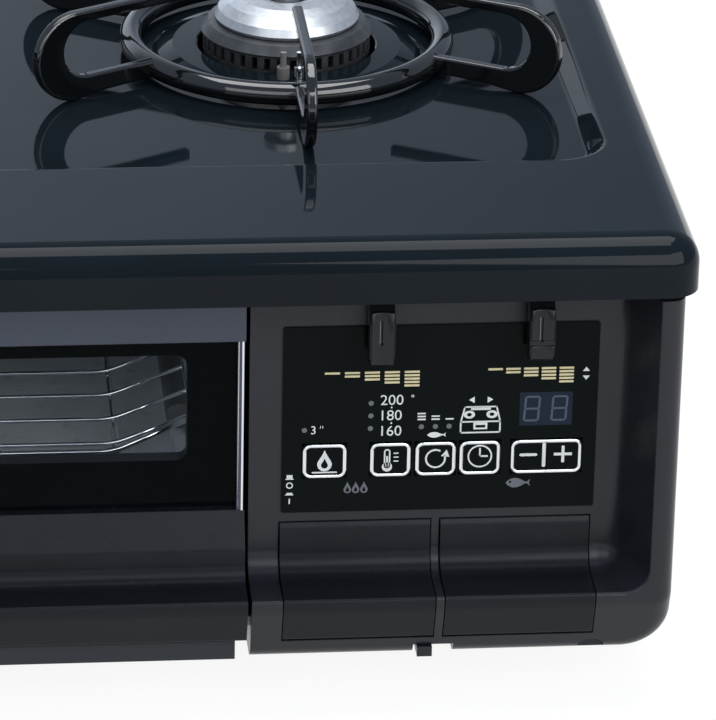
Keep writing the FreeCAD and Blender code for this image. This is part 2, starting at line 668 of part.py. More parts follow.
def fascia_recess(node, sign):
    """The room in front of the sunk panel, open to the top and towards the grill door."""
    slope = (s.rim_edge - s.panel_edge) / (panel - front)
    recess = outline_body(node + "_recess", "z",
                          [(sign * (s.fascia_inner - 20), panel), (sign * s.panel_edge, panel),
                           (sign * (s.rim_edge + slope), front - 1), (sign * (s.fascia_inner - 20), front - 1)],
                          (s.lip_top, fascia_top + 20))
    low, near, inner = s.lip_top.value, panel.value, abs(s.fascia_inner.value)

    def valley(edge):
        limits = edge.BoundBox
        at_panel = limits.YMin > near - 0.01
        at_shelf = limits.ZMax < low + 0.01
        reach = max(abs(limits.XMin), abs(limits.XMax))
        upright = limits.ZMax - limits.ZMin > 30
        right_end = reach > inner + 30
        return right_end and ((at_panel and (at_shelf or upright)) or (at_shelf and not at_panel
                              and min(abs(limits.XMin), abs(limits.XMax)) > inner + 30))

    return soften(node + "_sunk", recess, s.recess_round, valley)


def make_fascia(side, sign):
    """A moulded front panel: a sunk face behind a rim and a lip, open behind."""
    node = side + "_fascia"
    wide, wall = s.body_half_width, s.fascia_wall
    hollowed = cut(node + "_dish", fascia_block(node, sign), [fascia_recess(node, sign)])
    near, shelf, edge_x = front.value, s.lip_top.value, s.rim_edge.value

    def crest(edge):
        limits = edge.BoundBox
        ahead = limits.YMax < near + 0.01
        along_shelf = limits.ZMax < shelf + 20 and limits.ZMin > shelf - 0.5
        beside = limits.ZMin > shelf - 0.5 and max(abs(limits.XMin), abs(limits.XMax)) < edge_x + 0.5
        return ahead and (along_shelf or beside) and min(abs(limits.XMin), abs(limits.XMax)) > 1

    doc.recompute()
    block = soften(node + "_crest", hollowed, s.crest_round, crest)
    inside = box(node + "_inside", (sign * (s.fascia_inner + wall), sign * (wide - wall)),
                 (panel + wall, body_front + 1), (s.body_bottom + wall, fascia_top - wall))
    rim_room = outline_body(node + "_rim_room", "z",
                            [(sign * (s.panel_edge + 1.5 * wall), panel + wall),
                             (sign * (s.rim_edge + wall), front + 2 * wall),
                             (sign * (wide - 2 * wall), front + 2 * wall),
                             (sign * (wide - wall), front + 4 * wall),
                             (sign * (wide - wall), panel + wall + 1),
                             (sign * (s.panel_edge + 1.5 * wall), panel + wall + 1)],
                            (s.lip_top, fascia_top - wall))
    gap = s.button_gap
    tools = [inside, rim_room]
    for name, near_x, far_x in (("inner", s.button_inner, s.button_middle),
                                ("outer", s.button_split, s.button_outer)):
        tools.append(box("%s_%s" % (node, name), (sign * (near_x - gap), sign * (far_x + gap)),
                         (front - 1, body_front), (s.button_bottom - gap, s.button_top + gap)))
    tools.append(lever_notch(node + "_notch", sign * s.right_lever_x))
    if side == "right":
        tools.append(lever_notch(node + "_grill_notch", s.grill_lever_x))
        for key, (left, right) in key_spans.items():
            tools.append(box(node + "_" + key, (left - s.key_gap, right + s.key_gap),
                             (panel - 1, panel + wall + 1), (s.key_bottom - s.key_gap, s.key_top + s.key_gap)))
        tools.append(box(node + "_display", (s.display_left, s.display_right),
                         (panel - 1, panel + wall + 1), (s.display_bottom, s.display_top)))
        tools.append(box(node + "_lock_slot", (s.slot_left, s.slot_right),
                         (front - 1, panel + wall + 1), (s.body_bottom - 1, s.body_bottom + 5)))
        tools.append(rounded_box(node + "_drain", "y", (s.drain_left, s.drain_right),
                                 (front - 1, front + s.lip_foot + wall),
                                 (s.body_bottom - 5, s.body_bottom + s.drain_height), as_size(4)))
    piece = cut(node + "_cut", block, tools)
    if side == "right":
        posts = [cylinder("board_post%d" % number, "y", s.post_radius, (panel + wall - 0.5, board_front), x, z)
                 for number, (x, z) in enumerate(board_posts())]
        piece = fuse(node, [piece] + posts)
    keep(node, piece)


def board_posts():
    """The four posts that carry the control board."""
    return [(x, z) for x in (s.membrane_left + 3, s.membrane_right - 2.5)
            for z in (s.membrane_bottom + 6, s.membrane_top - 6)]


def make_controls():
    """The gloss panel inserts, the touch keys and the board behind them."""
    skin_front = panel - s.membrane_thick
    for node, sign in (("control_membrane", 1), ("left_membrane", -1)):
        sheet_body = rounded_box(node + "_sheet", "y", (sign * s.membrane_left, sign * s.membrane_right),
                                 (skin_front, panel), (s.membrane_bottom, s.membrane_top), as_size(1))
        if sign > 0:
            holes = [box("membrane_" + key, (left - s.key_gap, right + s.key_gap),
                         (skin_front - 1, panel + 1), (s.key_bottom - s.key_gap, s.key_top + s.key_gap))
                     for key, (left, right) in key_spans.items()]
            sheet_body = cut(node, sheet_body, holes)
        keep(node, sheet_body)
    switch_front = board_front - s.switch_height
    key_rear = switch_front - s.key_travel - s.key_rest_gap
    for key, (left, right) in key_spans.items():
        keep(key, rounded_box(key, "y", (left, right), (skin_front - s.key_proud, key_rear),
                              (s.key_bottom, s.key_top), s.key_round))
    pieces = [box("board_sheet", (s.membrane_left + s.board_margin / 2, s.membrane_right),
                  (board_front, board_front + s.board_thick),
                  (s.membrane_bottom + s.board_margin, s.membrane_top - s.board_margin))]
    key_middle = (s.key_bottom + s.key_top) / 2
    for key, (left, right) in key_spans.items():
        middle = (left + right) / 2
        pieces.append(box("switch_" + key, (middle - s.switch_half, middle + s.switch_half),
                          (switch_front, board_front + 0.5),
                          (key_middle - s.switch_half, key_middle + s.switch_half)))
    pieces.append(box("display_module", (s.display_left + 1, s.display_right - 1),
                      (panel + s.fascia_wall - 1, board_front + 0.5),
                      (s.display_bottom + 1, s.display_top - 1)))
    keep("control_board", fuse("control_board", pieces))

    low = s.body_bottom
    nub = box("lock_nub", (s.nub_left, s.nub_left + s.nub_width),
              (front + s.lip_foot - 3, panel + s.fascia_wall + 1), (low + 0.5, low + 4.5))
    plate = box("lock_plate", (s.slot_left - 3, s.slot_right + 8),
                (panel + s.fascia_wall + 0.2, panel + s.fascia_wall + 2.2),
                (low + s.fascia_wall + 0.3, low + s.fascia_wall + 5.5))
    keep("lock_slider", fuse("lock_slider", [nub, plate]))


def make_lever(node, x):
    """A heat lever: a hub on its spindle, a flat arm and the finger blade in front."""
    hub = cylinder(node + "_hub", "z", s.hub_radius, (s.tower_top + 0.2, s.lever_top), x, pivot_y)
    blade_back = panel - s.lever_gap
    arm = box(node + "_arm", (x - s.arm_width / 2, x + s.arm_width / 2), (blade_back, pivot_y),
              (s.arm_low, s.arm_low + s.arm_thick))
    blade_front = blade_back - s.lever_thick
    blade = outline_body(node + "_blade", "x",
                         [(blade_back, s.lever_bottom), (blade_front + 2, s.lever_bottom),
                          (blade_front, s.lever_bottom + 3), (blade_front, s.lever_bottom + 16),
                          (blade_back - 1, s.lever_top), (blade_back, s.lever_top)],
                         (x - s.lever_width / 2, x + s.lever_width / 2), [(as_size(1), (1, 2, 3))])
    bore = cylinder(node + "_bore", "z", s.spindle_radius + s.spindle_fit,
                    (s.tower_top - 1, s.lever_top + 1), x, pivot_y)
    keep(node, cut(node, fuse(node + "_body", [hub, arm, blade]), [bore]))


def make_valve(node, button_x, lever_x, nozzle_levels):
    """A gas valve block with the button's bore, the lever's spindle and its nozzles."""
    half = s.valve_width / 2
    block_front = body_front + s.valve_start
    block_back = block_front + s.valve_depth
    foot_half = half - s.valve_foot_inset
    foot_front = block_front + s.valve_foot_start
    lever_z = (s.tower_top, s.lever_top - 0.5)
    manifold = plate_front + s.manifold_y
    pieces = [box(node + "_block", (button_x - half, button_x + half), (block_front, block_back),
                  (s.valve_low, s.valve_high)),
              box(node + "_foot", (button_x - foot_half, button_x + foot_half),
                  (foot_front, foot_front + s.valve_foot_length), (pan_floor_top, s.valve_low + 1)),
              box(node + "_seat", (button_x - 5, button_x + 5), (manifold - 5, manifold + 5),
                  (s.manifold_low + s.manifold_size, s.valve_low + 1)),
              cylinder(node + "_tower", "z", s.tower_radius, (s.valve_high - 1, s.tower_top),
                       lever_x, pivot_y),
              cylinder(node + "_spindle", "z", s.spindle_radius, lever_z, lever_x, pivot_y)]
    for number, level in enumerate(nozzle_levels):
        pieces.append(cylinder("%s_nozzle%d" % (node, number), "y", s.nozzle_radius,
                               (pivot_y, tower_nozzle_end), lever_x, level))
    bore = cylinder(node + "_bore", "y", s.stem_radius + s.stem_bore_gap,
                    (block_front - 1, block_front + s.button_travel + 6), button_x, s.stem_height)
    keep(node, cut(node, fuse(node + "_body", pieces), [bore]))


def make_burner(side, sign):
    """One burner: mixing body, toothed head, domed cap and sprung pan sensor."""
    x = sign * s.burner_x
    lever_x = sign * s.right_lever_x
    outer, bore = s.tube_radius, s.tube_radius - s.tube_wall
    seat = s.rail_top
    top = basin_floor
    cup = cylinder(side + "_cup", "z", s.cup_radius, (seat, top), x, burner_y)
    flange = cylinder(side + "_flange", "z", s.flange_radius,
                      (s.flange_height, s.flange_height + s.flange_thick), x, burner_y)
    riser = cylinder(side + "_riser", "z", outer, (s.tube_height, seat + 1), x, burner_y)
    mouth = tower_nozzle_end + 1
    tube = cylinder(side + "_tube", "y", outer, (burner_y, mouth), x, s.tube_height)
    bell = cylinder(side + "_bell", "y", outer, (mouth, mouth + 10), x, s.tube_height)
    bend = doc.addObject("Part::Sphere", side + "_bend")
    bind(bend, "Radius", outer)
    place(bend, x, burner_y, s.tube_height)
    room = cylinder(side + "_room", "z", s.cup_radius - s.cup_wall, (seat + s.cup_wall, top + 1),
                    x, burner_y)
    riser_bore = cylinder(side + "_riser_bore", "z", bore, (s.tube_height, top), x, burner_y)
    tube_bore = cylinder(side + "_tube_bore", "y", bore, (burner_y, mouth - 1), x, s.tube_height)
    solid = fuse(side + "_casting", [cup, flange, riser, tube, bell, bend])
    post = cylinder(side + "_post", "z", s.sensor_radius + s.sensor_fit + 2, (seat, top), x, burner_y)
    web = box(side + "_web", (x - s.cup_radius + 1, x + s.cup_radius - 1), (burner_y - 1.5, burner_y + 1.5),
              (seat, seat + 8))
    hollow = cut(side + "_hollow_body", solid, [room, riser_bore, tube_bore])
    sensor_bore = cylinder(side + "_sensor_bore", "z", s.sensor_radius + s.sensor_fit,
                           (seat + 2, top + 1), x, burner_y)
    holes = [sensor_bore]
    for name, radius, angle in probes():
        px, py = probe_place(x, angle)
        holes.append(cylinder("%s_flange_%s" % (side, name), "z", radius + s.probe_gap,
                              (s.flange_height - 1, s.flange_height + s.flange_thick + 1), px, py))
    keep(side + "_burner_body", cut(side + "_burner_body",
                                    fuse(side + "_whole_body", [hollow, post, web]), holes))

    rim = s.head_radius
    height = s.head_height
    head = turned_body(side + "_burner_head",
                       [(s.head_port_radius - 3, 0), (rim - 1, 0), (rim, 1), (rim, height - 5),
                        (rim + 1, height - 4), (rim - 2, height - 0.5), (s.cap_radius, height),
                        (s.cap_hole, height), (s.cap_hole, height - 2.5), (s.head_port_radius, height - 2.5),
                        (s.head_port_radius - 3, height - 8)], x, burner_y, top)
    port_sketch = outline_sketch(head, "z",
                                 [(s.head_port_radius - 4, -s.port_width / 2), (rim + 3, -s.port_width / 2),
                                  (rim + 3, s.port_width / 2), (s.head_port_radius - 4, s.port_width / 2)],
                                 as_size(3.5))
    port = head.newObject("PartDesign::Pocket", side + "_port")
    port.Profile = port_sketch
    bind(port, "Length", s.port_height)
    port.Reversed = True
    doc.recompute()
    ring = head.newObject("PartDesign::PolarPattern", side + "_ports")
    ring.Originals = [port]
    ring.Axis = (origin_feature(head, "Z_Axis"), [""])
    ring.Angle = 360
    bind(ring, "Occurrences", s.port_count)
    head.Tip = ring
    doc.recompute()
    keep(side + "_burner_head", head)

    lift = s.seat_gap
    rise = s.cap_height
    cap = turned_body(side + "_burner_cap",
                      [(s.cap_hole, 0), (s.cap_radius - 1, 0), (s.cap_radius, 1.5),
                       (s.cap_radius - 1.5, rise * 0.45), (s.cap_radius - 5, rise * 0.75),
                       (s.cap_radius - 10, rise * 0.93), (s.cap_hole + 4, rise), (s.cap_hole, rise * 0.9)],
                      x, burner_y, top + height + lift)
    keep(side + "_burner_cap", cap)

    low = seat + 2 + s.sensor_travel + 2
    stem = cylinder(side + "_sensor_stem", "z", s.sensor_radius, (low, s.sensor_top - 1), x, burner_y)
    disc = cylinder(side + "_sensor_disc", "z", s.sensor_head,
                    (s.sensor_top - s.sensor_head_thick, s.sensor_top), x, burner_y)
    keep(side + "_sensor", fuse(side + "_sensor", [stem, disc]))


def probes():
    """The spark electrode and the thermocouple in front of each burner, with their bearings."""
    return (("electrode", s.electrode_radius, -96.5), ("thermocouple", s.thermocouple_radius, -87.5))


def probe_place(x, angle):
    """Where a probe stands beside the burner whose axis is at x."""
    turn = math.radians(angle)
    return x + s.probe_ring * math.cos(turn), burner_y + s.probe_ring * math.sin(turn)


def make_probes():
    """Electrodes, thermocouples and seal rings, one of each for both burners."""
    electrodes = []
    thermocouples = []
    rings = []
    top = basin_floor
    for side, sign in (("right", 1), ("left", -1)):
        x = sign * s.burner_x
        for name, radius, angle in probes():
            px, py = probe_place(x, angle)
            rod = cylinder("%s_%s_rod" % (side, name), "z", radius, (s.probe_low, top + 8), px, py)
            tip = cylinder("%s_%s_tip" % (side, name), "z", radius / 2, (top + 7, top + 14), px, py)
            pair = fuse("%s_%s" % (side, name), [rod, tip])
            (electrodes if name == "electrode" else thermocouples).append(pair)
        ring = turned_body(side + "_ring_turn",
                           [(s.seal_inner, s.seal_height - 1.5), (s.seal_inner, s.seal_height - 0.3),
                            (s.seal_inner + 0.6, s.seal_height), (s.plate_hole + 1, s.seal_height - 0.3),
                            (s.seal_outer - 2, 1.2), (s.seal_outer, 0), (s.plate_hole, 0),
                            (s.plate_hole - 1, s.seal_height - 1.8)], x, burner_y, top)
        holes = []
        for name, radius, angle in probes():
            px, py = probe_place(x, angle)
            holes.append(cylinder("%s_ring_%s" % (side, name), "z", radius + s.probe_gap,
                                  (top - 1, top + 8), px, py))
        rings.append(cut(side + "_seal_ring", ring, holes))
    keep("spark_electrodes", group("spark_electrodes", electrodes))
    keep("thermocouples", group("thermocouples", thermocouples))
    keep("seal_rings", group("seal_rings", rings))


def claw_sketch(body):
    """The side outline of one trivet claw: a low arm, a round back and a long flat prong."""
    sketch = body.newObject("Sketcher::SketchObject", body.Name + "_outline")
    sketch.AttachmentSupport = [(origin_feature(body, "XZ_Plane"), "")]
    sketch.MapMode = "FlatFace"
    bind(sketch, "AttachmentOffset.Base.z", -s.claw_thick / 2)
    back_radius = s.claw_top / 2
    back_x = s.claw_outer - back_radius
    inner_radius = (s.claw_top - s.prong_height - s.arm_height) / 2
    inner_z = s.arm_height + inner_radius
    inner_x = s.claw_outer - s.claw_width - inner_radius
    ring_x = s.ring_radius
    tip_x = s.claw_tip
    corners = [(ring_x, as_size(2.4)), (back_x - 12, as_size(1.6)), (back_x, as_size(0)),
               (back_x, s.claw_top), (tip_x, s.claw_top), (tip_x, s.claw_top - s.prong_height),
               (inner_x, s.claw_top - s.prong_height), (inner_x, s.arm_height), (ring_x, s.arm_height)]
    points = [vector(a.value, b.value, 0) for a, b in corners]
    back_middle = vector(s.claw_outer.value, back_radius.value, 0)
    inner_middle = vector((inner_x + inner_radius).value, inner_z.value, 0)
    count = len(points)
    for index in range(count):
        start, end = points[index], points[(index + 1) % count]
        if index == 2:
            sketch.addGeometry(Part.Arc(start, back_middle, end))
        elif index == 6:
            sketch.addGeometry(Part.Arc(start, inner_middle, end))
        else:
            sketch.addGeometry(Part.LineSegment(start, end))
    # the outer arc runs anticlockwise from the foot, the inner one is stored the other way round
    start_point = {6: 2}
    end_point = {6: 1}
    for index in range(count):
        after = (index + 1) % count
        sketch.addConstraint(Sketcher.Constraint("Coincident", index, end_point.get(index, 2),
                                                 after, start_point.get(after, 1)))
    for index, corner in enumerate(corners):
        for kind, size in zip(("DistanceX", "DistanceY"), corner):
            vertex = start_point.get(index, 1)
            number = sketch.addConstraint(Sketcher.Constraint(kind, -1, 1, index, vertex, size.value))
            name = "corner%d_%s" % (index, kind[-1])
            sketch.renameConstraint(number, name)
            sketch.setExpression("Constraints." + name, size.text)
    # both arcs are half circles, so the middle of each lies straight above its lower end
    for index, name, middle in ((2, "back_middle", back_x), (6, "inner_middle", inner_x)):
        number = sketch.addConstraint(Sketcher.Constraint("DistanceX", -1, 1, index, 3, middle.value))
        sketch.renameConstraint(number, name)
        sketch.setExpression("Constraints." + name, middle.text)
    return sketch


def make_trivet(side, sign):
    """A pan support: a round ring with claws spaced evenly about it."""
    name = side + "_trivet"
    body = doc.addObject("PartDesign::Body", name + "_claws")
    claw = body.newObject("PartDesign::Pad", name + "_claw")
    claw.Profile = claw_sketch(body)
    bind(claw, "Length", s.claw_thick)
    doc.recompute()
    inner_end = s.ring_radius.value + 0.01

    def long_edges(edge):
        limits = edge.BoundBox
        return limits.XMax > inner_end and limits.YMax - limits.YMin < 0.01

    names = ["Edge%d" % n for n, edge in enumerate(claw.Shape.Edges, start=1) if long_edges(edge)]
    rounding = body.newObject("PartDesign::Fillet", name + "_claw_round")
    rounding.Base = (claw, names)
    bind(rounding, "Radius", s.claw_round)
    doc.recompute()
    turned = body.newObject("PartDesign::PolarPattern", name + "_pattern")
    turned.Originals = [claw, rounding]
    turned.Axis = (origin_feature(body, "Z_Axis"), [""])
    turned.Angle = 360
    bind(turned, "Occurrences", s.claw_count)
    body.Tip = turned
    x = sign * s.burner_x
    height = basin_floor + s.seat_gap
    # half a claw step turns one claw to the front and one to the rear
    body.Placement = FreeCAD.Placement(vector(), FreeCAD.Rotation(vector(0, 0, 1), 30))
    place(body, x, burner_y, height)
    ring = doc.addObject("Part::Torus", name + "_ring")
    bind(ring, "Radius1", s.ring_radius)
    bind(ring, "Radius2", s.ring_bar)
    place(ring, x, burner_y, height + s.ring_bar + 1)
    keep(name, fuse(name, [body, ring]))


def make_grill_box():
    """The fixed grill: cavity, burners, duct and the vent cover."""
    wide, wall = s.box_half_width, s.sheet_wall
    shell = box("box_block", (-wide, wide), (box_front, box_back), (s.box_low, s.box_high))
    room = box("box_room", (-wide + wall, wide - wall), (box_front - 1, box_back - wall),
               (s.box_low + wall, s.box_high - wall))
    outlet = box("box_outlet", (-s.duct_half_width + 3, s.duct_half_width - 3),
                 (box_back - 3, box_back + 1), (s.duct_low + 3, s.box_high - 6))
    upper_y, upper_z, side_y = grill_pipe_ends()
    inlets = [cylinder("box_upper_inlet", "x", s.grill_pipe + 0.6, (wide - 3, wide + 3), upper_y, upper_z),
              cylinder("box_lower_inlet", "x", s.side_burner_radius + 0.4, (wide - 3, wide + 3),
                       side_y, s.side_burner_z)]
    pieces = [cut("box_shell", shell, [room, outlet] + inlets)]
    guide_top = s.rail_low - s.guide_gap
    for side, sign in (("right", 1), ("left", -1)):
        pieces.append(box("box_guide_" + side,
                          (sign * (wide - wall / 2), sign * (s.pan_half_width + 1)),
                          (box_front + 2, box_front + s.rail_reach), (guide_top - s.guide_thick, guide_top)))
        for number, start in enumerate((box_front + s.leg_front, box_front + s.leg_rear)):
            pieces.append(box("box_leg_%s%d" % (side, number), (sign * wide, sign * (wide - wall)),
                              (start, start + s.leg_length), (pan_floor_top, s.box_low + 1)))
    keep("grill_box", fuse("grill_box", pieces))

    ceiling = s.box_high - wall
    near = plate_front + s.upper_start
    upper = box("upper_block", (-s.upper_half_width, s.upper_half_width), (near, near + s.upper_length),
                (ceiling - s.upper_depth, ceiling))
    slots = []
    for number in range(int(s.upper_slot_count.value)):
        start = near + 14 + number * s.upper_slot_pitch
        slots.append(box("upper_slot%d" % number, (-s.upper_half_width + 8, s.upper_half_width - 8),
                         (start, start + s.upper_slot_width),
                         (ceiling - s.upper_depth - 1, ceiling - s.upper_depth + 4)))
    feed_x = s.upper_half_width - 18
    pipe_end = wide + s.pipe_reach
    feed = bent_tube("upper_feed", [(feed_x, near + s.upper_length - 1, upper_z), (feed_x, upper_y, upper_z),
                                    (pipe_end, upper_y, upper_z)], s.grill_pipe, 12)
    keep("grill_upper_burner", fuse("grill_upper_burner", [cut("upper_cut", upper, slots), feed]))

    side_x, side_z = s.side_burner_x, s.side_burner_z
    start = box_front + s.side_burner_start
    route = [(-side_x, start, side_z), (-side_x, side_y, side_z), (pipe_end, side_y, side_z)]
    bent = bent_tube("lower_bend", route, s.side_burner_radius, 15)
    branch = cylinder("lower_branch", "y", s.side_burner_radius, (start, side_y), side_x, side_z)
    keep("grill_lower_burner", fuse("grill_lower_burner", [bent, branch]))

    half = s.duct_half_width
    duct_back = box_back + s.duct_depth
    outer = box("duct_block", (-half, half), (box_back, duct_back), (s.duct_low, plate_under))
    inner = box("duct_room", (-half + wall, half - wall), (box_back + wall, duct_back - wall),
                (s.duct_low + wall, plate_under + 1))
    mouth = box("duct_mouth", (-half + 3, half - 3), (box_back - 1, box_back + 2),
                (s.duct_low + 3, s.box_high - 6))
    keep("exhaust_duct", cut("exhaust_duct", outer, [inner, mouth]))

    margin = s.cover_margin
    reach = s.vent_half_width + margin
    hood = rounded_box("cover_block", "z", (-reach, reach), (vent_front - 5, vent_rear + 5),
                       (s.plate_top, s.plate_top + s.cover_height), as_size(6))
    crown = (s.plate_top + s.cover_height).value

    def on_crown(edge):
        return edge.BoundBox.ZMin > crown - 0.01

    hood = soften("cover_hood", hood, as_size(3), on_crown)
    hollow = rounded_box("cover_hollow", "z", (-reach + 1.5, reach - 1.5),
                         (vent_front - 3.5, vent_rear + 3.5),
                         (s.plate_top - 1, s.plate_top + s.cover_height - 1.5), as_size(4))
    pitch = 2 * s.vent_half_width / s.vent_slots
    slots = []
    for number in range(int(s.vent_slots.value)):
        middle = -s.vent_half_width + pitch * (number + 0.5)
        slots.append(rounded_box("cover_slot%d" % number, "z",
                                 (middle - s.vent_slot_width / 2, middle + s.vent_slot_width / 2),
                                 (vent_front + 3, vent_rear - 3),
                                 (s.plate_top + 2, s.plate_top + s.cover_height + 1), as_size(2.5)))
    keep("exhaust_cover", cut("exhaust_cover", hood, [hollow] + slots))


def grill_pipe_ends():
    """Where the two grill pipes meet the grill burners."""
    behind_burner = burner_y + s.flange_radius + s.grill_pipe_gap
    return behind_burner, s.box_high - s.sheet_wall - s.upper_depth / 2, box_back - 26


def make_grill_drawer():
    """The drawer: door, glass, trim, handle, carrying frame, pan and wire rack."""
    wide = s.door_half_width
    glass_front = panel
    glass_back = panel + s.glass_thick
    frame = box("door_block", (-wide, wide), (glass_back, door_back), (s.door_bottom, s.door_top))
    window = rounded_box("door_window", "y", (-s.window_half_width, s.window_half_width),
                         (glass_back - 1, door_back + 1), (s.window_bottom, s.window_top),
                         s.window_corner)
    hollow = box("door_hollow", (-wide + 4, wide - 4), (glass_back + 2.5, door_back + 1),
                 (s.door_bottom + 3, s.rail_low - 3))
    keep("grill_door_frame", cut("grill_door_frame", frame, [window, hollow]))
    pane = rounded_box("grill_glass", "y", (-s.glass_half_width, s.glass_half_width),
                       (glass_front, glass_back), (s.glass_bottom, s.glass_top), as_size(0.8))
    keep("grill_glass", pane)
    proud = s.trim_proud
    bar = box("trim_bar", (-wide, wide), (glass_front - proud, glass_back),
              (s.glass_top, s.door_top))
    bar_front = (glass_front - proud).value
    bar_top = s.door_top.value

    def trim_edge(edge):
        limits = edge.BoundBox
        return (limits.YMax < bar_front + 0.01 and limits.ZMin > bar_top - 0.01)

    bar = soften("trim_bar_round", bar, as_size(2), trim_edge)
    inner, outer = s.glass_half_width, s.glass_half_width + s.trim_wall
    strips = [box("trim_strip_" + side, (sign * inner, sign * outer), (glass_front - 0.3, glass_back),
                  (s.glass_bottom, s.glass_top + 1)) for side, sign in (("right", 1), ("left", -1))]
    keep("door_trim", fuse("door_trim", [bar] + strips))
    keep("grill_handle", front_shell("grill_handle", (-wide, wide), s.glass_bottom,
                                     s.glass_bottom - s.handle_brow_drop, s.handle_brow_proud, glass_back,
                                     s.handle_sway))

    reach = box_front + s.rail_reach
    rail_x = s.pan_half_width + 1.5
    bars = [box("rail_bar_" + side, (sign * rail_x, sign * (rail_x + s.rail_bar)),
                (door_back, reach - 4), (s.rail_low, s.rail_high))
            for side, sign in (("right", 1), ("left", -1))]
    bars.append(box("rail_cross", (-rail_x - s.rail_bar, rail_x + s.rail_bar),
                    (reach - 6, reach - 4), (s.rail_low, s.rail_high)))
    bars.append(box("rail_front", (-rail_x - s.rail_bar, rail_x + s.rail_bar),
                    (door_back, door_back + 2), (s.rail_low, s.rail_high)))
    keep("drawer_frame", fuse("drawer_frame", bars))

    pan_front = door_back + 4
    pan_back = pan_front + s.pan_length
    half = s.pan_half_width
    low = s.rail_high - s.pan_depth
    body = rounded_box("pan_body", "z", (-half, half), (pan_front, pan_back), (low, s.rail_high),
                       as_size(8))
    brim = rounded_box("pan_brim", "z", (-rail_x - s.rail_bar, rail_x + s.rail_bar),
                       (pan_front - 1.5, pan_back + 3), (s.rail_high, s.rail_high + 1), as_size(6))
    inside = rounded_box("pan_inside", "z", (-half + 1, half - 1), (pan_front + 1, pan_back - 1),
                         (low + 1, s.rail_high + 2), as_size(7))
    keep("grill_pan", cut("grill_pan", fuse("pan_outer", [body, brim]), [inside]))
    make_rack(pan_front + s.rack_start - 10, low + 1)


def slanted_wire(name, start, end):
    """A straight wire of the rack's wings between two points."""
    spots = [vector(*[as_size(c).value for c in point]) for point in (start, end)]
    piece = doc.addObject("Part::Feature", name)
    along = spots[1] - spots[0]
    piece.Shape = Part.makeCylinder(s.wire_radius.value, along.Length, spots[0], along)
    return piece


def make_rack(start, floor):
    """The wire rack that stands in the pan: a flat net, a raised wing at each side, four legs."""
    wide, flat = s.rack_half_width, s.rack_flat
    height, raised = s.rack_height, s.rack_height + s.rack_rise
    end = start + (s.rack_wires - 1) * s.rack_pitch
    length = (start - 2, end + 2)
    rows = [start + number * s.rack_pitch for number in range(int(s.rack_wires.value))]
    runner_x = flat - 2
    # the cross wires lie on the runners and are welded into them a little
    runner_z = height - s.wire_radius - s.frame_wire + 0.5
    net = [cylinder("rack_wire%d" % number, "x", s.wire_radius, (-flat, flat), y, height)
           for number, y in enumerate(rows)]
    for name, x in (("left", -runner_x), ("middle", as_size(0)), ("right", runner_x)):
        net.append(cylinder("rack_runner_" + name, "y", s.frame_wire, length, x, runner_z))
    pieces = [fuse("rack_net", net)]
    # each wing wire starts a little inside the net and is cut square where the net ends
    overlap = 2
    start_z = height - overlap * s.rack_rise / (wide - flat)
    for side, sign in (("right", 1), ("left", -1)):
        wires = [slanted_wire("rack_wing_wire_%s%d" % (side, number), (sign * (flat - overlap), y, start_z),
                              (sign * wide, y, raised)) for number, y in enumerate(rows)]
        wires.append(cylinder("rack_edge_" + side, "y", s.frame_wire, length, sign * wide, raised))
        beyond = box("rack_beyond_" + side, (sign * flat, 0), (start - 5, end + 5),
                     (height - 10, raised + 5))
        pieces.append(cut("rack_wing_" + side, fuse("rack_wing_whole_" + side, wires), [beyond]))
        for number, y in enumerate((start + 2.5 * s.rack_pitch, end - 2.5 * s.rack_pitch)):
            pieces.append(cylinder("rack_leg_%s%d" % (side, number), "z", s.frame_wire,
                                   (floor, runner_z - s.frame_wire), sign * runner_x, y))
    keep("grill_rack", group("grill_rack", pieces))


def make_gas_train():
    """The inlet, the manifold with its supply pipe and the pipes to the grill burners."""
    manifold = plate_front + s.manifold_y
    half = s.manifold_size / 2
    low, high = s.manifold_low, s.manifold_low + s.manifold_size
    middle = low + half
    bar = box("manifold_bar", (-s.right_lever_x - 8, s.grill_lever_x + 16),
              (manifold - half, manifold + half), (low, high))
    elbow_front = body_rear - 25
    supply = bent_tube("supply_pipe", [(s.grill_lever_x + 15, manifold, middle),
                                       (s.inlet_x, manifold, middle), (s.inlet_x, elbow_front, middle)],
                       s.pipe_radius - 1, 12)
    keep("gas_manifold", fuse("gas_manifold", [bar, supply]))
    block = box("inlet_block", (s.inlet_x - 9, s.inlet_x + 9), (elbow_front, body_rear - 2 * s.sheet_wall),
                (pan_floor_top + 2, s.inlet_z + 9))
    neck = cylinder("inlet_neck", "y", s.pipe_radius + 2, (body_rear - 3, body_rear + 4), s.inlet_x,
                    s.inlet_z)
    nozzle = cylinder("inlet_nozzle", "y", s.nozzle_pin,
                      (body_rear + 3, body_rear + 4 + s.nozzle_pin_length), s.inlet_x, s.inlet_z)
    foot = box("inlet_foot", (s.inlet_x - 7, s.inlet_x + 7), (elbow_front + 4, body_rear - 8),
               (pan_floor_top, pan_floor_top + 3))
    keep("gas_inlet", fuse("gas_inlet", [block, neck, nozzle, foot]))

    upper_y, upper_z, side_y = grill_pipe_ends()
    end = s.box_half_width + s.pipe_reach
    high_level, low_level = grill_levels()
    upper = bent_tube("upper_pipe", [(s.grill_lever_x, tower_nozzle_end, high_level),
                                     (s.grill_lever_x, upper_y, high_level),
                                     (s.grill_lever_x - 40, upper_y, upper_z), (end, upper_y, upper_z)],
                      s.grill_pipe, 10)
    lower = bent_tube("lower_pipe", [(s.grill_lever_x, tower_nozzle_end, low_level),
                                     (s.grill_lever_x, side_y, low_level), (end, side_y, low_level)],
                      s.grill_pipe, 14)
    keep("grill_gas_pipes", group("grill_gas_pipes", [upper, lower]))


def grill_levels():
    """The heights of the grill valve's two nozzles."""
    return s.tube_height, s.side_burner_z


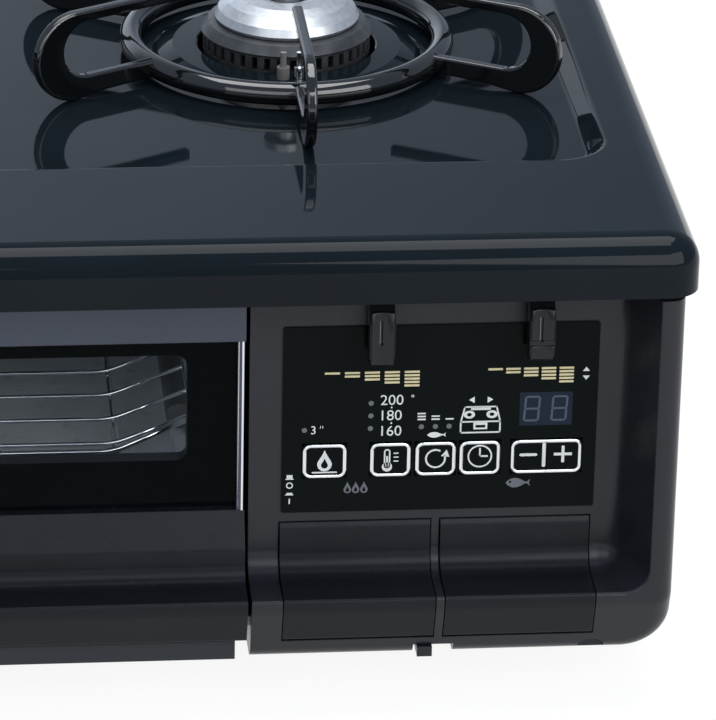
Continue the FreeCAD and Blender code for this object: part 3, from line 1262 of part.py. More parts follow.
def make_ignition():
    """The igniter, its leads and the battery drawer."""
    igniter = box("igniter_box", (-s.igniter_outer, -s.igniter_inner),
                  (burner_y - s.igniter_depth, burner_y), (pan_floor_top, s.igniter_top))
    keep("igniter_box", igniter)
    lead = s.lead_radius
    low, level = s.lead_low, s.lead_level
    leads = []
    for side, sign in (("left", -1), ("right", 1)):
        px, py = probe_place(sign * s.burner_x, probes()[0][2])
        if sign < 0:
            exit_y = burner_y - s.igniter_depth / 2
            route = [(-s.lead_left, exit_y, s.igniter_top), (-s.lead_left, exit_y, level)]
        else:
            exit_y = burner_y - s.igniter_depth / 3
            route = [(-s.igniter_inner, exit_y, low), (s.lead_right, exit_y, low),
                     (s.lead_right, exit_y, level)]
        route += [(px, py, level), (px, py, s.probe_low)]
        leads.append(bent_tube("lead_" + side, route, lead, 6))
    board_x, board_z = s.lead_board, s.lead_board_height
    exit_y = burner_y - s.igniter_depth * 3 / 4
    behind = body_front + 5
    leads.append(bent_tube("lead_board", [(-s.igniter_inner, exit_y, low), (board_x, exit_y, low),
                                          (board_x, behind, low), (board_x, behind, board_z),
                                          (board_x, board_front + s.board_thick, board_z)], lead, 4))
    keep("wiring_harness", group("wiring_harness", leads))

    left, right = -s.button_outer, -s.button_split
    middle = (left + right) / 2
    inner_half = s.cell_radius + s.cell_gap
    tray_half = inner_half + s.tray_wall
    floor = s.button_bottom
    cell_low = floor + s.tray_wall
    cell_z = cell_low + s.cell_radius
    back = button_rear
    tray_back = back + 2 * s.cell_length + 7
    tray_block = box("tray_block", (middle - tray_half, middle + tray_half), (back - 2.5, tray_back),
                     (floor, cell_z + 4))
    tray_room = box("tray_room", (middle - inner_half, middle + inner_half), (back, tray_back - s.tray_wall),
                    (cell_low, cell_z + 5))
    face = front_shell("battery_face", (left, right), s.button_top, s.button_top - s.brow_drop,
                       s.brow_proud, back, s.sway_round)
    rear_wall = box("battery_wall", (left + 1, right - 1), (back - 2.5, back),
                    (floor + 0.5, s.button_top - 1))
    keep("battery_drawer", cut("battery_drawer",
                               fuse("battery_body", [face, rear_wall, tray_block]), [tray_room]))
    cells = []
    for number in range(2):
        start = back + 1 + number * (s.cell_length + 1)
        body = cylinder("cell_body%d" % number, "y", s.cell_radius, (start + 1.5, start + s.cell_length),
                        middle, cell_z)
        button = cylinder("cell_button%d" % number, "y", s.cell_contact, (start, start + 2), middle, cell_z)
        cells.append(fuse("cell%d" % number, [body, button]))
    keep("battery_cells", group("battery_cells", cells))

    gap = s.button_gap
    wall = s.sleeve_wall
    room_half = tray_half + gap
    top = cell_z + s.cell_radius + 1.5
    sleeve_front = back + 1
    sleeve_back = tray_back + 3
    outer = box("sleeve_block", (middle - room_half - wall, middle + room_half + wall),
                (sleeve_front, sleeve_back), (floor - gap - wall, top + wall))
    room = box("sleeve_room", (middle - room_half, middle + room_half),
               (sleeve_front - 1, sleeve_back - wall), (floor - gap, top))
    legs = [box("sleeve_leg%d" % number, (middle - 12, middle + 12), (spot, spot + 12),
                (pan_floor_top, floor - gap - wall + 0.5))
            for number, spot in enumerate((sleeve_front + 12, sleeve_back - 30))]
    keep("battery_sleeve", fuse("battery_sleeve", [cut("sleeve_shell", outer, [room])] + legs))


def make_buttons_and_valves():
    """The three push buttons, the three heat levers and their valves."""
    inner = (s.button_inner, s.button_middle)
    outer = (s.button_split, s.button_outer)
    make_button("right_burner_button", inner)
    make_button("grill_button", outer)
    make_button("left_burner_button", (-s.button_inner, -s.button_middle))
    make_lever("right_fire_lever", s.right_lever_x)
    make_lever("grill_fire_lever", s.grill_lever_x)
    make_lever("left_fire_lever", -s.right_lever_x)
    inner_middle = (inner[0] + inner[1]) / 2
    outer_middle = (outer[0] + outer[1]) / 2
    make_valve("right_valve", inner_middle, s.right_lever_x, (s.tube_height,))
    make_valve("grill_valve", outer_middle, s.grill_lever_x, grill_levels())
    make_valve("left_valve", -inner_middle, -s.right_lever_x, (s.tube_height,))


make_top_plate()
make_cabinet()
for side_name, side_sign in (("right", 1), ("left", -1)):
    make_fascia(side_name, side_sign)
    make_burner(side_name, side_sign)
    make_trivet(side_name, side_sign)
make_controls()
make_buttons_and_valves()
make_probes()
make_grill_box()
make_grill_drawer()
make_gas_train()
make_ignition()
doc.recompute()

faults = [item.Name for item in doc.Objects if {"Invalid", "Error"} & set(item.State)]
for piece in sub_parts:
    if piece.Shape.isNull() or not piece.Shape.isValid() or piece.Shape.Volume <= 0:
        faults.append(piece.Label)
if faults:
    raise RuntimeError("not built: " + ", ".join(faults))

os.makedirs("parts", exist_ok=True)
for piece in sub_parts:
    piece.Shape.exportStep("parts/%s.step" % piece.Label)
print("sub-parts:", len(sub_parts))
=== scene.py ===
import math

import bmesh
import bpy
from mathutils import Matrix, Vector


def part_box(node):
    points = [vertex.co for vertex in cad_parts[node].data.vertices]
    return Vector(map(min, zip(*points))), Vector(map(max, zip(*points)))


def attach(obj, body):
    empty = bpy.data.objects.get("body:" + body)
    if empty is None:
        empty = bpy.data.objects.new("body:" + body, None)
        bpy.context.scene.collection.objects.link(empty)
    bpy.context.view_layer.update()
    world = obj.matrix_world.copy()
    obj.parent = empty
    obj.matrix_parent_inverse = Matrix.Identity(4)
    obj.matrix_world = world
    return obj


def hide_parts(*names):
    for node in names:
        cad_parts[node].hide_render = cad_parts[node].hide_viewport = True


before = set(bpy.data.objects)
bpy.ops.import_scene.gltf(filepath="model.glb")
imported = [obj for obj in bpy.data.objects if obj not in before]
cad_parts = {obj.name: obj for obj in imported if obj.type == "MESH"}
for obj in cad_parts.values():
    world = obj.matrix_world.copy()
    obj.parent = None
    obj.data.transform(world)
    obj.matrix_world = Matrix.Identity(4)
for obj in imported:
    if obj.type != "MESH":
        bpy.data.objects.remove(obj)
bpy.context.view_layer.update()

# The dressed gas stove. Metres, +Z up, the front faces -Y, the right hand side is +X. The shapes
# on the front are drawn in millimetres and become metres where their mesh is made.

MM = 0.001


def box_mm(node):
    """The low and the high corner of a node's box, in millimetres."""
    return [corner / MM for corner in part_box(node)]


# Materials

EVEN = (1, 1, 1)
ALONG_X = (0.04, 1, 1)
NOISE_LOW, NOISE_HIGH = 0.3, 0.7  # most of a noise pattern lies between these
COLOUR_DETAIL, ROUGH_DETAIL, BUMP_DETAIL = 4, 5, 3
ROUGH_PER_CLOUD = 3  # roughness wanders this much finer than colour
BEVEL_SAMPLES = 6


def blank_material(name):
    """A new node material, its tree and its Principled shader."""
    material = bpy.data.materials.new(name)
    material.use_nodes = True
    return material, material.node_tree, material.node_tree.nodes["Principled BSDF"]


def noise(tree, scale, detail, stretch=EVEN):
    """A noise pattern in the object's own metres."""
    place = tree.nodes.new("ShaderNodeTexCoord")
    mapping = tree.nodes.new("ShaderNodeMapping")
    mapping.inputs["Scale"].default_value = stretch
    pattern = tree.nodes.new("ShaderNodeTexNoise")
    pattern.inputs["Scale"].default_value = scale
    pattern.inputs["Detail"].default_value = detail
    tree.links.new(place.outputs["Object"], mapping.inputs["Vector"])
    tree.links.new(mapping.outputs["Vector"], pattern.inputs["Vector"])
    return pattern.outputs["Fac"]


def vary_colour(tree, shader, colour, share, scale):
    """Clouds of a slightly lighter and darker shade of one colour."""
    ramp = tree.nodes.new("ShaderNodeValToRGB")
    stops = ((NOISE_LOW, 1 - share), (NOISE_HIGH, 1 + share))
    for element, (position, factor) in zip(ramp.color_ramp.elements, stops):
        element.position = position
        element.color = [c * factor for c in colour] + [1]
    tree.links.new(noise(tree, scale, COLOUR_DETAIL), ramp.inputs["Fac"])
    tree.links.new(ramp.outputs["Color"], shader.inputs["Base Color"])


def vary_roughness(tree, shader, low, high, scale, stretch=EVEN):
    """A roughness that wanders between two values."""
    span = tree.nodes.new("ShaderNodeMapRange")
    span.inputs["From Min"].default_value = NOISE_LOW
    span.inputs["From Max"].default_value = NOISE_HIGH
    span.inputs["To Min"].default_value = low
    span.inputs["To Max"].default_value = high
    tree.links.new(noise(tree, scale, ROUGH_DETAIL, stretch), span.inputs["Value"])
    tree.links.new(span.outputs["Result"], shader.inputs["Roughness"])


def vary_surface(tree, shader, edge, bumps):
    """Rounded looking edges of a radius, then bump layers: (scale, depth in metres, stretch)."""
    normal = None
    if edge:
        bevel = tree.nodes.new("ShaderNodeBevel")
        bevel.samples = BEVEL_SAMPLES
        bevel.inputs["Radius"].default_value = edge
        normal = bevel.outputs["Normal"]
    for scale, depth, stretch in bumps:
        bump = tree.nodes.new("ShaderNodeBump")
        bump.inputs["Strength"].default_value = 1
        bump.inputs["Distance"].default_value = depth
        tree.links.new(noise(tree, scale, BUMP_DETAIL, stretch), bump.inputs["Height"])
        if normal:
            tree.links.new(normal, bump.inputs["Normal"])
        normal = bump.outputs["Normal"]
    if normal:
        tree.links.new(normal, shader.inputs["Normal"])


def finish_of(name, colour, rough, metal=0.0, gloss=0.5, share=0.12, cloud=30, edge=0.0, bumps=(),
              streak=EVEN):
    """A surface with clouded colour, wandering roughness and fine relief."""
    material, tree, shader = blank_material(name)
    vary_colour(tree, shader, colour, share, cloud)
    vary_roughness(tree, shader, rough[0], rough[1], cloud * ROUGH_PER_CLOUD, streak)
    shader.inputs["Metallic"].default_value = metal
    shader.inputs["Specular IOR Level"].default_value = gloss
    vary_surface(tree, shader, edge, bumps)
    return material


finishes = {
    "plate_enamel": dict(
        colour=(0.0055, 0.0092, 0.0122), rough=(0.025, 0.05), gloss=0.12, cloud=12,
        bumps=[(40, 0.00002, EVEN), (1800, 0.000002, EVEN)]),
    "trivet_enamel": dict(
        colour=(0.003, 0.0035, 0.004), rough=(0.03, 0.07), gloss=0.9, cloud=40,
        bumps=[(120, 0.00004, EVEN)]),
    "body_plastic": dict(
        colour=(0.014, 0.016, 0.0205), rough=(0.24, 0.31), gloss=0.32, cloud=20, edge=0.5 * MM,
        bumps=[(2600, 0.00003, EVEN)]),
    "button_plastic": dict(
        colour=(0.0085, 0.0105, 0.0135), rough=(0.24, 0.32), gloss=0.17, cloud=22, edge=0.5 * MM,
        bumps=[(2600, 0.00002, EVEN)]),
    "lever_plastic": dict(
        colour=(0.007, 0.0085, 0.0105), rough=(0.16, 0.24), gloss=0.3, cloud=60, edge=0.5 * MM,
        bumps=[(2400, 0.00001, EVEN)]),
    "panel_gloss": dict(
        colour=(0.0022, 0.0045, 0.0045), rough=(0.05, 0.09), gloss=0.06, cloud=15,
        bumps=[(120, 0.00001, EVEN)]),
    "key_gloss": dict(
        colour=(0.0022, 0.004, 0.0045), rough=(0.1, 0.16), gloss=0.06, cloud=30, edge=0.3 * MM),
    "door_band": dict(
        colour=(0.05, 0.06, 0.082), rough=(0.34, 0.44), metal=0.4, cloud=14, edge=0.4 * MM,
        streak=ALONG_X, bumps=[(900, 0.000012, ALONG_X)]),
    # Black for the frit round the window, and for the painted shade of the slot down each lever.
    "black_frit_and_slot_shade": dict(
        colour=(0.0015, 0.0025, 0.003), rough=(0.06, 0.1), gloss=0.03, cloud=20),
    "sheet_steel": dict(
        colour=(0.03, 0.033, 0.038), rough=(0.38, 0.5), metal=0.1, gloss=0.25, cloud=9,
        edge=0.3 * MM, bumps=[(700, 0.00002, EVEN)]),
    "zinc_steel": dict(
        colour=(0.5, 0.53, 0.56), rough=(0.3, 0.5), metal=0.85, share=0.2, cloud=50,
        bumps=[(300, 0.00003, EVEN)]),
    "cavity_steel": dict(
        colour=(0.82, 0.87, 0.9), rough=(0.4, 0.55), cloud=35, bumps=[(300, 0.00004, EVEN)]),
    "burner_steel": dict(
        colour=(0.16, 0.17, 0.18), rough=(0.35, 0.5), metal=0.5, share=0.2, cloud=60,
        bumps=[(300, 0.00004, EVEN)]),
    "tray_enamel": dict(colour=(0.74, 0.79, 0.83), rough=(0.25, 0.4), cloud=40),
    "rubber": dict(
        colour=(0.012, 0.012, 0.012), rough=(0.6, 0.8), gloss=0.3, cloud=90,
        bumps=[(1500, 0.00005, EVEN)]),
    "screw_steel": dict(colour=(0.55, 0.56, 0.55), rough=(0.25, 0.4), metal=1, cloud=300),
    "cast_alloy": dict(
        colour=(0.4, 0.41, 0.41), rough=(0.45, 0.6), metal=0.8, cloud=80,
        bumps=[(1200, 0.00015, EVEN)]),
    "head_alloy": dict(
        colour=(0.065, 0.068, 0.074), rough=(0.3, 0.45), metal=0.6, share=0.25, cloud=120,
        edge=0.3 * MM, bumps=[(1500, 0.00006, EVEN)]),
    "cap_steel": dict(
        colour=(0.6, 0.62, 0.64), rough=(0.34, 0.44), metal=0.9, share=0.1, cloud=400,
        bumps=[(1600, 0.00001, EVEN)]),
    "chrome": dict(
        colour=(0.78, 0.8, 0.82), rough=(0.08, 0.16), metal=1, share=0.04, cloud=100),
    "bright_trim": dict(
        colour=(0.7, 0.72, 0.75), rough=(0.14, 0.22), metal=1, share=0.04, cloud=80),
    "brass": dict(colour=(0.6, 0.45, 0.2), rough=(0.25, 0.4), metal=1, cloud=90),
    "copper": dict(colour=(0.6, 0.32, 0.2), rough=(0.25, 0.45), metal=1, share=0.2, cloud=70),
    "ceramic": dict(colour=(0.14, 0.135, 0.13), rough=(0.3, 0.45), share=0.05, cloud=100),
    "board_green": dict(colour=(0.02, 0.12, 0.05), rough=(0.35, 0.5), cloud=60),
    "lead_red": dict(colour=(0.25, 0.02, 0.015), rough=(0.4, 0.5), cloud=60),
    "cell_jacket": dict(colour=(0.05, 0.06, 0.08), rough=(0.3, 0.4), metal=0.4, cloud=60),
    "grey_plastic": dict(
        colour=(0.12, 0.12, 0.125), rough=(0.45, 0.6), cloud=30, bumps=[(1500, 0.00004, EVEN)]),
    "print_white": dict(colour=(0.78, 0.79, 0.78), rough=(0.35, 0.45), share=0.05, cloud=400),
    "print_beige": dict(colour=(0.72, 0.64, 0.38), rough=(0.35, 0.45), share=0.05, cloud=400),
    # Grey for print, and for the painted highlight on the lit edge of the slot down each lever.
    "grey_print_and_slot_highlight": dict(colour=(0.13, 0.135, 0.155), rough=(0.35, 0.45), share=0.05, cloud=400),
    "display_film": dict(colour=(0.012, 0.021, 0.038), rough=(0.08, 0.12), gloss=0.1, cloud=60),
    "display_segment": dict(
        colour=(0.045, 0.065, 0.105), rough=(0.3, 0.4), share=0.05, cloud=300),
}
materials = {name: finish_of(name, **values) for name, values in finishes.items()}


def clear_glass():
    """The window pane: see-through but for a little tint, with a faint sharp reflection."""
    material, tree, shader = blank_material("clear_glass")
    shader.inputs["Base Color"].default_value = (0.02, 0.03, 0.032, 1)
    shader.inputs["Alpha"].default_value = 0.03
    shader.inputs["Specular IOR Level"].default_value = 0.05
    vary_roughness(tree, shader, low=0.02, high=0.05, scale=60)
    return material


materials["clear_glass"] = clear_glass()

node_finish = {
    "plate_enamel": ["top_plate", "seal_rings"],
    "trivet_enamel": ["right_trivet", "left_trivet", "exhaust_cover"],
    "body_plastic": ["right_fascia", "left_fascia", "lock_slider"],
    "button_plastic": ["right_burner_button", "left_burner_button", "grill_button",
                       "battery_drawer", "grill_handle"],
    "lever_plastic": ["right_fire_lever", "left_fire_lever", "grill_fire_lever"],
    "panel_gloss": ["control_membrane", "left_membrane"],
    "key_gloss": ["key_high_heat", "key_temperature", "key_auto", "key_timer", "key_minus",
                  "key_plus"],
    "door_band": ["door_trim"],
    "sheet_steel": ["body_shell", "grill_door_frame", "bottom_pan"],
    "zinc_steel": ["burner_rail", "exhaust_duct", "drawer_frame", "igniter_box"],
    "cavity_steel": ["grill_box"],
    "burner_steel": ["grill_upper_burner", "grill_lower_burner"],
    "tray_enamel": ["grill_pan"],
    "rubber": ["feet"],
    "screw_steel": ["back_screws"],
    "cast_alloy": ["right_burner_body", "left_burner_body", "right_valve", "left_valve",
                   "grill_valve", "gas_manifold"],
    "head_alloy": ["right_burner_head", "left_burner_head"],
    "cap_steel": ["right_burner_cap", "left_burner_cap", "right_sensor", "left_sensor"],
    "chrome": ["grill_rack", "thermocouples"],
    "brass": ["gas_inlet"],
    "copper": ["grill_gas_pipes"],
    "ceramic": ["spark_electrodes"],
    "board_green": ["control_board"],
    "lead_red": ["wiring_harness"],
    "cell_jacket": ["battery_cells"],
    "grey_plastic": ["battery_sleeve"],
}
for finish_name, names in node_finish.items():
    for node_name in names:
        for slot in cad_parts[node_name].material_slots:
            slot.material = materials[finish_name]


# Flat outlines on the front: lists of (x, z) in millimetres, anticlockwise seen from the front

def arc(cx, cz, radius, start, end, steps=6):
    """Points along an arc, angles in degrees."""
    turns = [math.radians(start + (end - start) * i / steps) for i in range(steps + 1)]
    return [(cx + radius * math.cos(t), cz + radius * math.sin(t)) for t in turns]


def round_rect(cx, cz, width, height, radius):
    """A rectangle with round corners."""
    x, z = width / 2 - radius, height / 2 - radius
    corners = ((x, -z, -90), (x, z, 0), (-x, z, 90), (-x, -z, 180))
    return [p for dx, dz, a in corners for p in arc(cx + dx, cz + dz, radius, a, a + 90)]


def disc(cx, cz, radius, steps=28):
    """A circle."""
    return arc(cx, cz, radius, 0, 360, steps)[:-1]


def oval(cx, cz, wide, high):
    """An ellipse given by its half width and half height."""
    return [(cx + x * wide, cz + z * high) for x, z in disc(0, 0, 1)]


def stroke(x0, z0, x1, z1, width):
    """A straight line with round ends."""
    lean = math.degrees(math.atan2(z1 - z0, x1 - x0))
    half = width / 2
    return (arc(x1, z1, half, lean - 90, lean + 90)
            + arc(x0, z0, half, lean + 90, lean + 270))


def arrowhead(cx, cz, back, ahead, half, angle):
    """A triangle with its base behind a place and its tip ahead of it, pointing at an angle."""
    along = Vector((math.cos(math.radians(angle)), math.sin(math.radians(angle))))
    across = Vector((-along.y, along.x)) * half
    base, tip = Vector((cx, cz)) - along * back, Vector((cx, cz)) + along * ahead
    return [tuple(point) for point in (base - across, tip, base + across)]


# Pieces from shapes

WELD = 1e-7  # metres within which two points are one


def mesh_piece(name, mesh, finish, body, smooth=False):
    """An object from a bmesh, with its finish, riding on a body."""
    bmesh.ops.remove_doubles(mesh, verts=mesh.verts, dist=WELD)
    bmesh.ops.recalc_face_normals(mesh, faces=mesh.faces)
    data = bpy.data.meshes.new(name)
    mesh.to_mesh(data)
    mesh.free()
    data.materials.append(materials[finish])
    if smooth:
        data.shade_smooth()
    piece = bpy.data.objects.new(name, data)
    bpy.context.scene.collection.objects.link(piece)
    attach(piece, body)
    return piece


def bridge(mesh, row, other, closed=True):
    """Faces between two rows of points, which are rings unless they are open."""
    for i in range(len(row) if closed else len(row) - 1):
        j = (i + 1) % len(row)
        mesh.faces.new((row[i], row[j], other[j], other[i]))


def loft(mesh, rows):
    """A solid through rings of points, closed at both ends."""
    for row, other in zip(rows, rows[1:]):
        bridge(mesh, row, other)
    mesh.faces.new(list(reversed(rows[0])))
    mesh.faces.new(rows[-1])


class Relief:
    """Thin raised shapes on a front face, gathered into one piece."""

    def __init__(self, face, thick):
        self.mesh = bmesh.new()
        self.back = face * MM
        self.front = (face - thick) * MM

    def row(self, outline, y):
        """The points of an outline at one depth."""
        return [self.mesh.verts.new((x * MM, y, z * MM)) for x, z in outline]

    def add(self, outline):
        """A filled outline."""
        loft(self.mesh, [self.row(outline, self.front), self.row(outline, self.back)])

    def add_ring(self, outer, inner):
        """An outline with a hole, both with the same number of points."""
        rows = [self.row(outer, self.front), self.row(outer, self.back),
                self.row(inner, self.back), self.row(inner, self.front)]
        for row, other in zip(rows, rows[1:] + rows[:1]):
            bridge(self.mesh, row, other)

    def add_text(self, text, cx, cz, height):
        """Figures in the built-in face, centred and scaled to a height."""
        curve = bpy.data.curves.new("figures", "FONT")
        curve.body = text
        curve.resolution_u = 4
        holder = bpy.data.objects.new("figures", curve)
        bpy.context.scene.collection.objects.link(holder)
        bpy.context.view_layer.update()
        depsgraph = bpy.context.evaluated_depsgraph_get()
        flat = bpy.data.meshes.new_from_object(holder.evaluated_get(depsgraph))
        xs, zs = zip(*[(v.co.x, v.co.y) for v in flat.vertices])
        scale = height / (max(zs) - min(zs))
        middle_x, middle_z = (min(xs) + max(xs)) / 2, (min(zs) + max(zs)) / 2
        outline = [(cx + (x - middle_x) * scale, cz + (z - middle_z) * scale)
                   for x, z in zip(xs, zs)]
        front, back = self.row(outline, self.front), self.row(outline, self.back)
        uses = {}
        for face in flat.polygons:
            self.mesh.faces.new([front[i] for i in face.vertices])
            self.mesh.faces.new([back[i] for i in reversed(face.vertices)])
            for edge in face.edge_keys:
                uses[edge] = uses.get(edge, 0) + 1
        for (i, j), count in uses.items():
            if count == 1:
                self.mesh.faces.new((front[i], back[i], back[j], front[j]))
        bpy.data.objects.remove(holder)
        bpy.data.curves.remove(curve)
        bpy.data.meshes.remove(flat)

    def build(self, name, finish, body):
        """The gathered shapes as one piece."""
        return mesh_piece(name, self.mesh, finish, body)


# Pictures that the print is made of

INK = 0.06  # thickness of the print
BAR_CORNER = 0.15
# A flame's flank: share of half its width, share of its height
FLANK = ((1.0, 0.34), (0.82, 0.5), (0.45, 0.7), (0.2, 0.86))


def flame(cx, low, width, height):
    """A pointed flame with a round foot."""
    half = width / 2
    foot = arc(cx, low + 0.33 * height, half * 0.98, -150, -30, 8)
    right = [(cx + half * x, low + height * z) for x, z in FLANK]
    left = [(cx - half * x, low + height * z) for x, z in reversed(FLANK)]
    return foot + right + [(cx, low + height)] + left


def add_flames(print_set, cx, low):
    """Three small burner flames side by side, each with a hollow core."""
    width, height, spacing = 2.9, 4.9, 1.06
    for step in (-1, 0, 1):
        x = cx + step * width * spacing
        print_set.add_ring(flame(x, low, width, height),
                           flame(x, low + 0.12 * height, width * 0.45, height * 0.5))


def fish(cx, cz, length, height):
    """A fish seen from its side, head to the left, with a slim root to its forked tail."""
    steps, fullness, slim = 12, 0.8, 0.16
    head, root, fork, tip = (cx + length * share for share in (-0.5, 0.36, 0.45, 0.5))
    fin = height * 0.38
    flank = [(head, 0)]
    for t in (i / steps for i in range(1, steps + 1)):
        rise = max(math.sin(math.pi * t ** fullness), slim)
        flank.append((head + (root - head) * t, height / 2 * rise))
    lower = [(x, cz - rise) for x, rise in flank]
    upper = [(x, cz + rise) for x, rise in reversed(flank[1:])]
    return lower + [(tip, cz - fin), (fork, cz), (tip, cz + fin)] + upper


def add_heat_scale(print_set, first_x, first_z, pitch, width):
    """Columns of one to five short bars, the scale of a fire lever."""
    bar_pitch, bar_height = 1.37, 0.85
    for column in range(5):
        for bar in range(column + 1):
            print_set.add(round_rect(first_x + column * pitch, first_z - bar * bar_pitch, width,
                                     bar_height, BAR_CORNER))


def add_push_marks(print_set, x):
    """A raised button with the off sign and a pushed one with the on sign."""
    foot_half, stem_half, shoulder = 1.7, 1.1, 0.5
    for foot, stem in ((88.6, 1.4), (82.2, 0.5)):
        low = foot + shoulder
        print_set.add([(x - foot_half, foot), (x + foot_half, foot), (x + stem_half, low),
                       (x + stem_half, low + stem), (x - stem_half, low + stem),
                       (x - stem_half, low)])
    off_z, on_low, on_high = 86.2, 78.8, 80.6
    print_set.add_ring(disc(x, off_z, 1.3), disc(x, off_z, 0.85))
    print_set.add(stroke(x, on_low, x, on_high, 0.5))


def add_stove(print_set, cx, low):
    """A small two burner stove, the sign for the left and right timer."""
    line, front_half, back_half, front_high, back_high = 0.6, 7.3, 5.9, 4.4, 10.4
    top = [(cx - back_half, low + back_high), (cx + back_half, low + back_high),
           (cx + front_half, low + front_high), (cx - front_half, low + front_high)]
    front = [(cx - front_half, low + front_high), (cx + front_half, low + front_high),
             (cx + front_half, low), (cx - front_half, low)]
    for corners in (top, front):
        for (x0, z0), (x1, z1) in zip(corners, corners[1:] + corners[:1]):
            print_set.add(stroke(x0, z0, x1, z1, line))
    exhaust_z, burner_z, burner_x = low + 9.7, low + 7.3, 4.2
    print_set.add(round_rect(cx, exhaust_z, 7.4, 1.2, 0.2))
    for x in (cx - burner_x, cx + burner_x):
        print_set.add_ring(oval(x, burner_z, 2.1, 1.6), oval(x, burner_z, 0.9, 0.7))
    print_set.add_ring(round_rect(cx, low + 2.7, 5.2, 2.9, 0.3),
                       round_rect(cx, low + 2.5, 3.6, 1.1, 0.2))


def add_battery(print_set, cx, cz):
    """A battery with its plus and minus."""
    print_set.add_ring(round_rect(cx, cz, 9.5, 4.4, 0.6), round_rect(cx, cz, 8.5, 3.4, 0.3))
    print_set.add(round_rect(cx + 5.3, cz, 1.2, 1.8, 0.2))
    bar, thick, minus_x, plus_x = 1.8, 0.5, cx - 2.3, cx + 2.1
    for x, width, height in ((minus_x, bar, thick), (plus_x, bar, thick), (plus_x, thick, bar)):
        print_set.add(round_rect(x, cz, width, height, BAR_CORNER))


def add_seven_segments(print_set, cx, cz):
    """A figure eight of seven bars that leans a little."""
    half, rise, thick, lean = 2.6, 4.8, 0.8, 0.06
    gap = thick * 0.65
    for z in (-rise, 0, rise):
        x = cx + z * lean
        print_set.add(stroke(x - half + gap, cz + z, x + half - gap, cz + z, thick))
    for side in (-half, half):
        for low, high in ((-rise + gap, -gap), (gap, rise - gap)):
            print_set.add(stroke(cx + side + low * lean, cz + low, cx + side + high * lean,
                                 cz + high, thick))


# The two panels. Places are (x, z) in millimetres. An arrow has its angle beside its place.

membrane_face = box_mm("control_membrane")[0].y

SCALE_PITCH, SCALE_COLUMN, SCALE_Z = 7.35, 5.6, 131.4
GRILL_PITCH, GRILL_COLUMN, GRILL_Z = 6.6, 5.4, 131.7
RIGHT_SCALE_X, LEFT_SCALE_X, GRILL_SCALE_X = 166.4, -200.2, 226.6
PUSH_X = 151.2
FLAMES_AT = (175.8, 82.3)

SECONDS_AT, SECONDS_HEIGHT = (159.7, 108.6), 3.3
TICKS_X, TICK_LOW, TICK_HIGH, TICK_LEAN, TICK_WIDTH = (162.2, 163.1), 109.3, 110.1, 0.15, 0.3
TEMPERATURES = (("200", 120.2), ("180", 114.0), ("160", 107.7))
TEMPERATURE_X, TEMPERATURE_HEIGHT = 188.6, 4.1
DEGREE_AT, DEGREE_RADII = (196.2, 121.6), (0.55, 0.3)
DOTS_X, DOTS_Z, DOT_RADIUS = 188.5, (117.1, 110.8), 0.35  # between the temperatures
LEVELS_AT, LEVEL_PITCH, LEVEL_LINE_PITCH, LEVEL_LINE = (199.7, 112.0), 5.2, 1.2, (3.1, 0.6)
SMALL_FISH_AT, SMALL_FISH = (205.4, 105.6), (7.0, 2.3)
STOVE_AT = (221.6, 106.2)
SIDE_ARROWS, SIDE_ARROW_Z = ((218.2, 180), (225.0, 0)), 119.5
UP_DOWN_ARROWS, UP_DOWN_ARROW_X = ((131.0, 90), (127.6, -90)), 260.3
ARROW_HALF = 1.3

LAMPS_AT = ((156.4, 108.6), (180.9, 119.0), (180.9, 113.9), (180.8, 108.8), (199.7, 109.0),
            (204.9, 109.0), (210.0, 109.0))
LAMP_RADIUS = 1.0
LARGE_FISH_AT, LARGE_FISH = (236.3, 85.2), (9.2, 3.9)
FISH_EYE_AT, FISH_EYE_RADIUS = (233.4, 85.6), 0.45
DISPLAY_AT, DISPLAY_SIZE, DISPLAY_CORNER = (245.8, 115.3), (19.6, 13.5), 0.4
DIGITS_AT = ((240.6, 115.4), (250.8, 115.4))
BATTERY_AT = (-235.7, 85.0)


def print_right_white():
    """The white print of the right hand panel: figures, arrows, a fish, a stove, push signs."""
    white = Relief(membrane_face, INK)
    white.add_text("3", *SECONDS_AT, SECONDS_HEIGHT)
    for x in TICKS_X:
        white.add(stroke(x, TICK_LOW, x + TICK_LEAN, TICK_HIGH, TICK_WIDTH))
    for text, z in TEMPERATURES:
        white.add_text(text, TEMPERATURE_X, z, TEMPERATURE_HEIGHT)
    white.add_ring(*(disc(*DEGREE_AT, radius, 16) for radius in DEGREE_RADII))
    for z in DOTS_Z:
        white.add(disc(DOTS_X, z, DOT_RADIUS, 12))
    level_x, level_z = LEVELS_AT
    for step, lines in enumerate((3, 2, 1)):
        for line in range(lines):
            white.add(round_rect(level_x + step * LEVEL_PITCH, level_z + line * LEVEL_LINE_PITCH,
                                 *LEVEL_LINE, BAR_CORNER))
    white.add(fish(*SMALL_FISH_AT, *SMALL_FISH))
    add_stove(white, *STOVE_AT)
    for x, angle in SIDE_ARROWS:
        white.add(arrowhead(x, SIDE_ARROW_Z, 1.0, 1.1, ARROW_HALF, angle))
    for z, angle in UP_DOWN_ARROWS:
        white.add(arrowhead(UP_DOWN_ARROW_X, z, 0.8, 1.0, ARROW_HALF, angle))
    add_push_marks(white, PUSH_X)
    white.build("right_panel_print", "print_white", "cabinet")


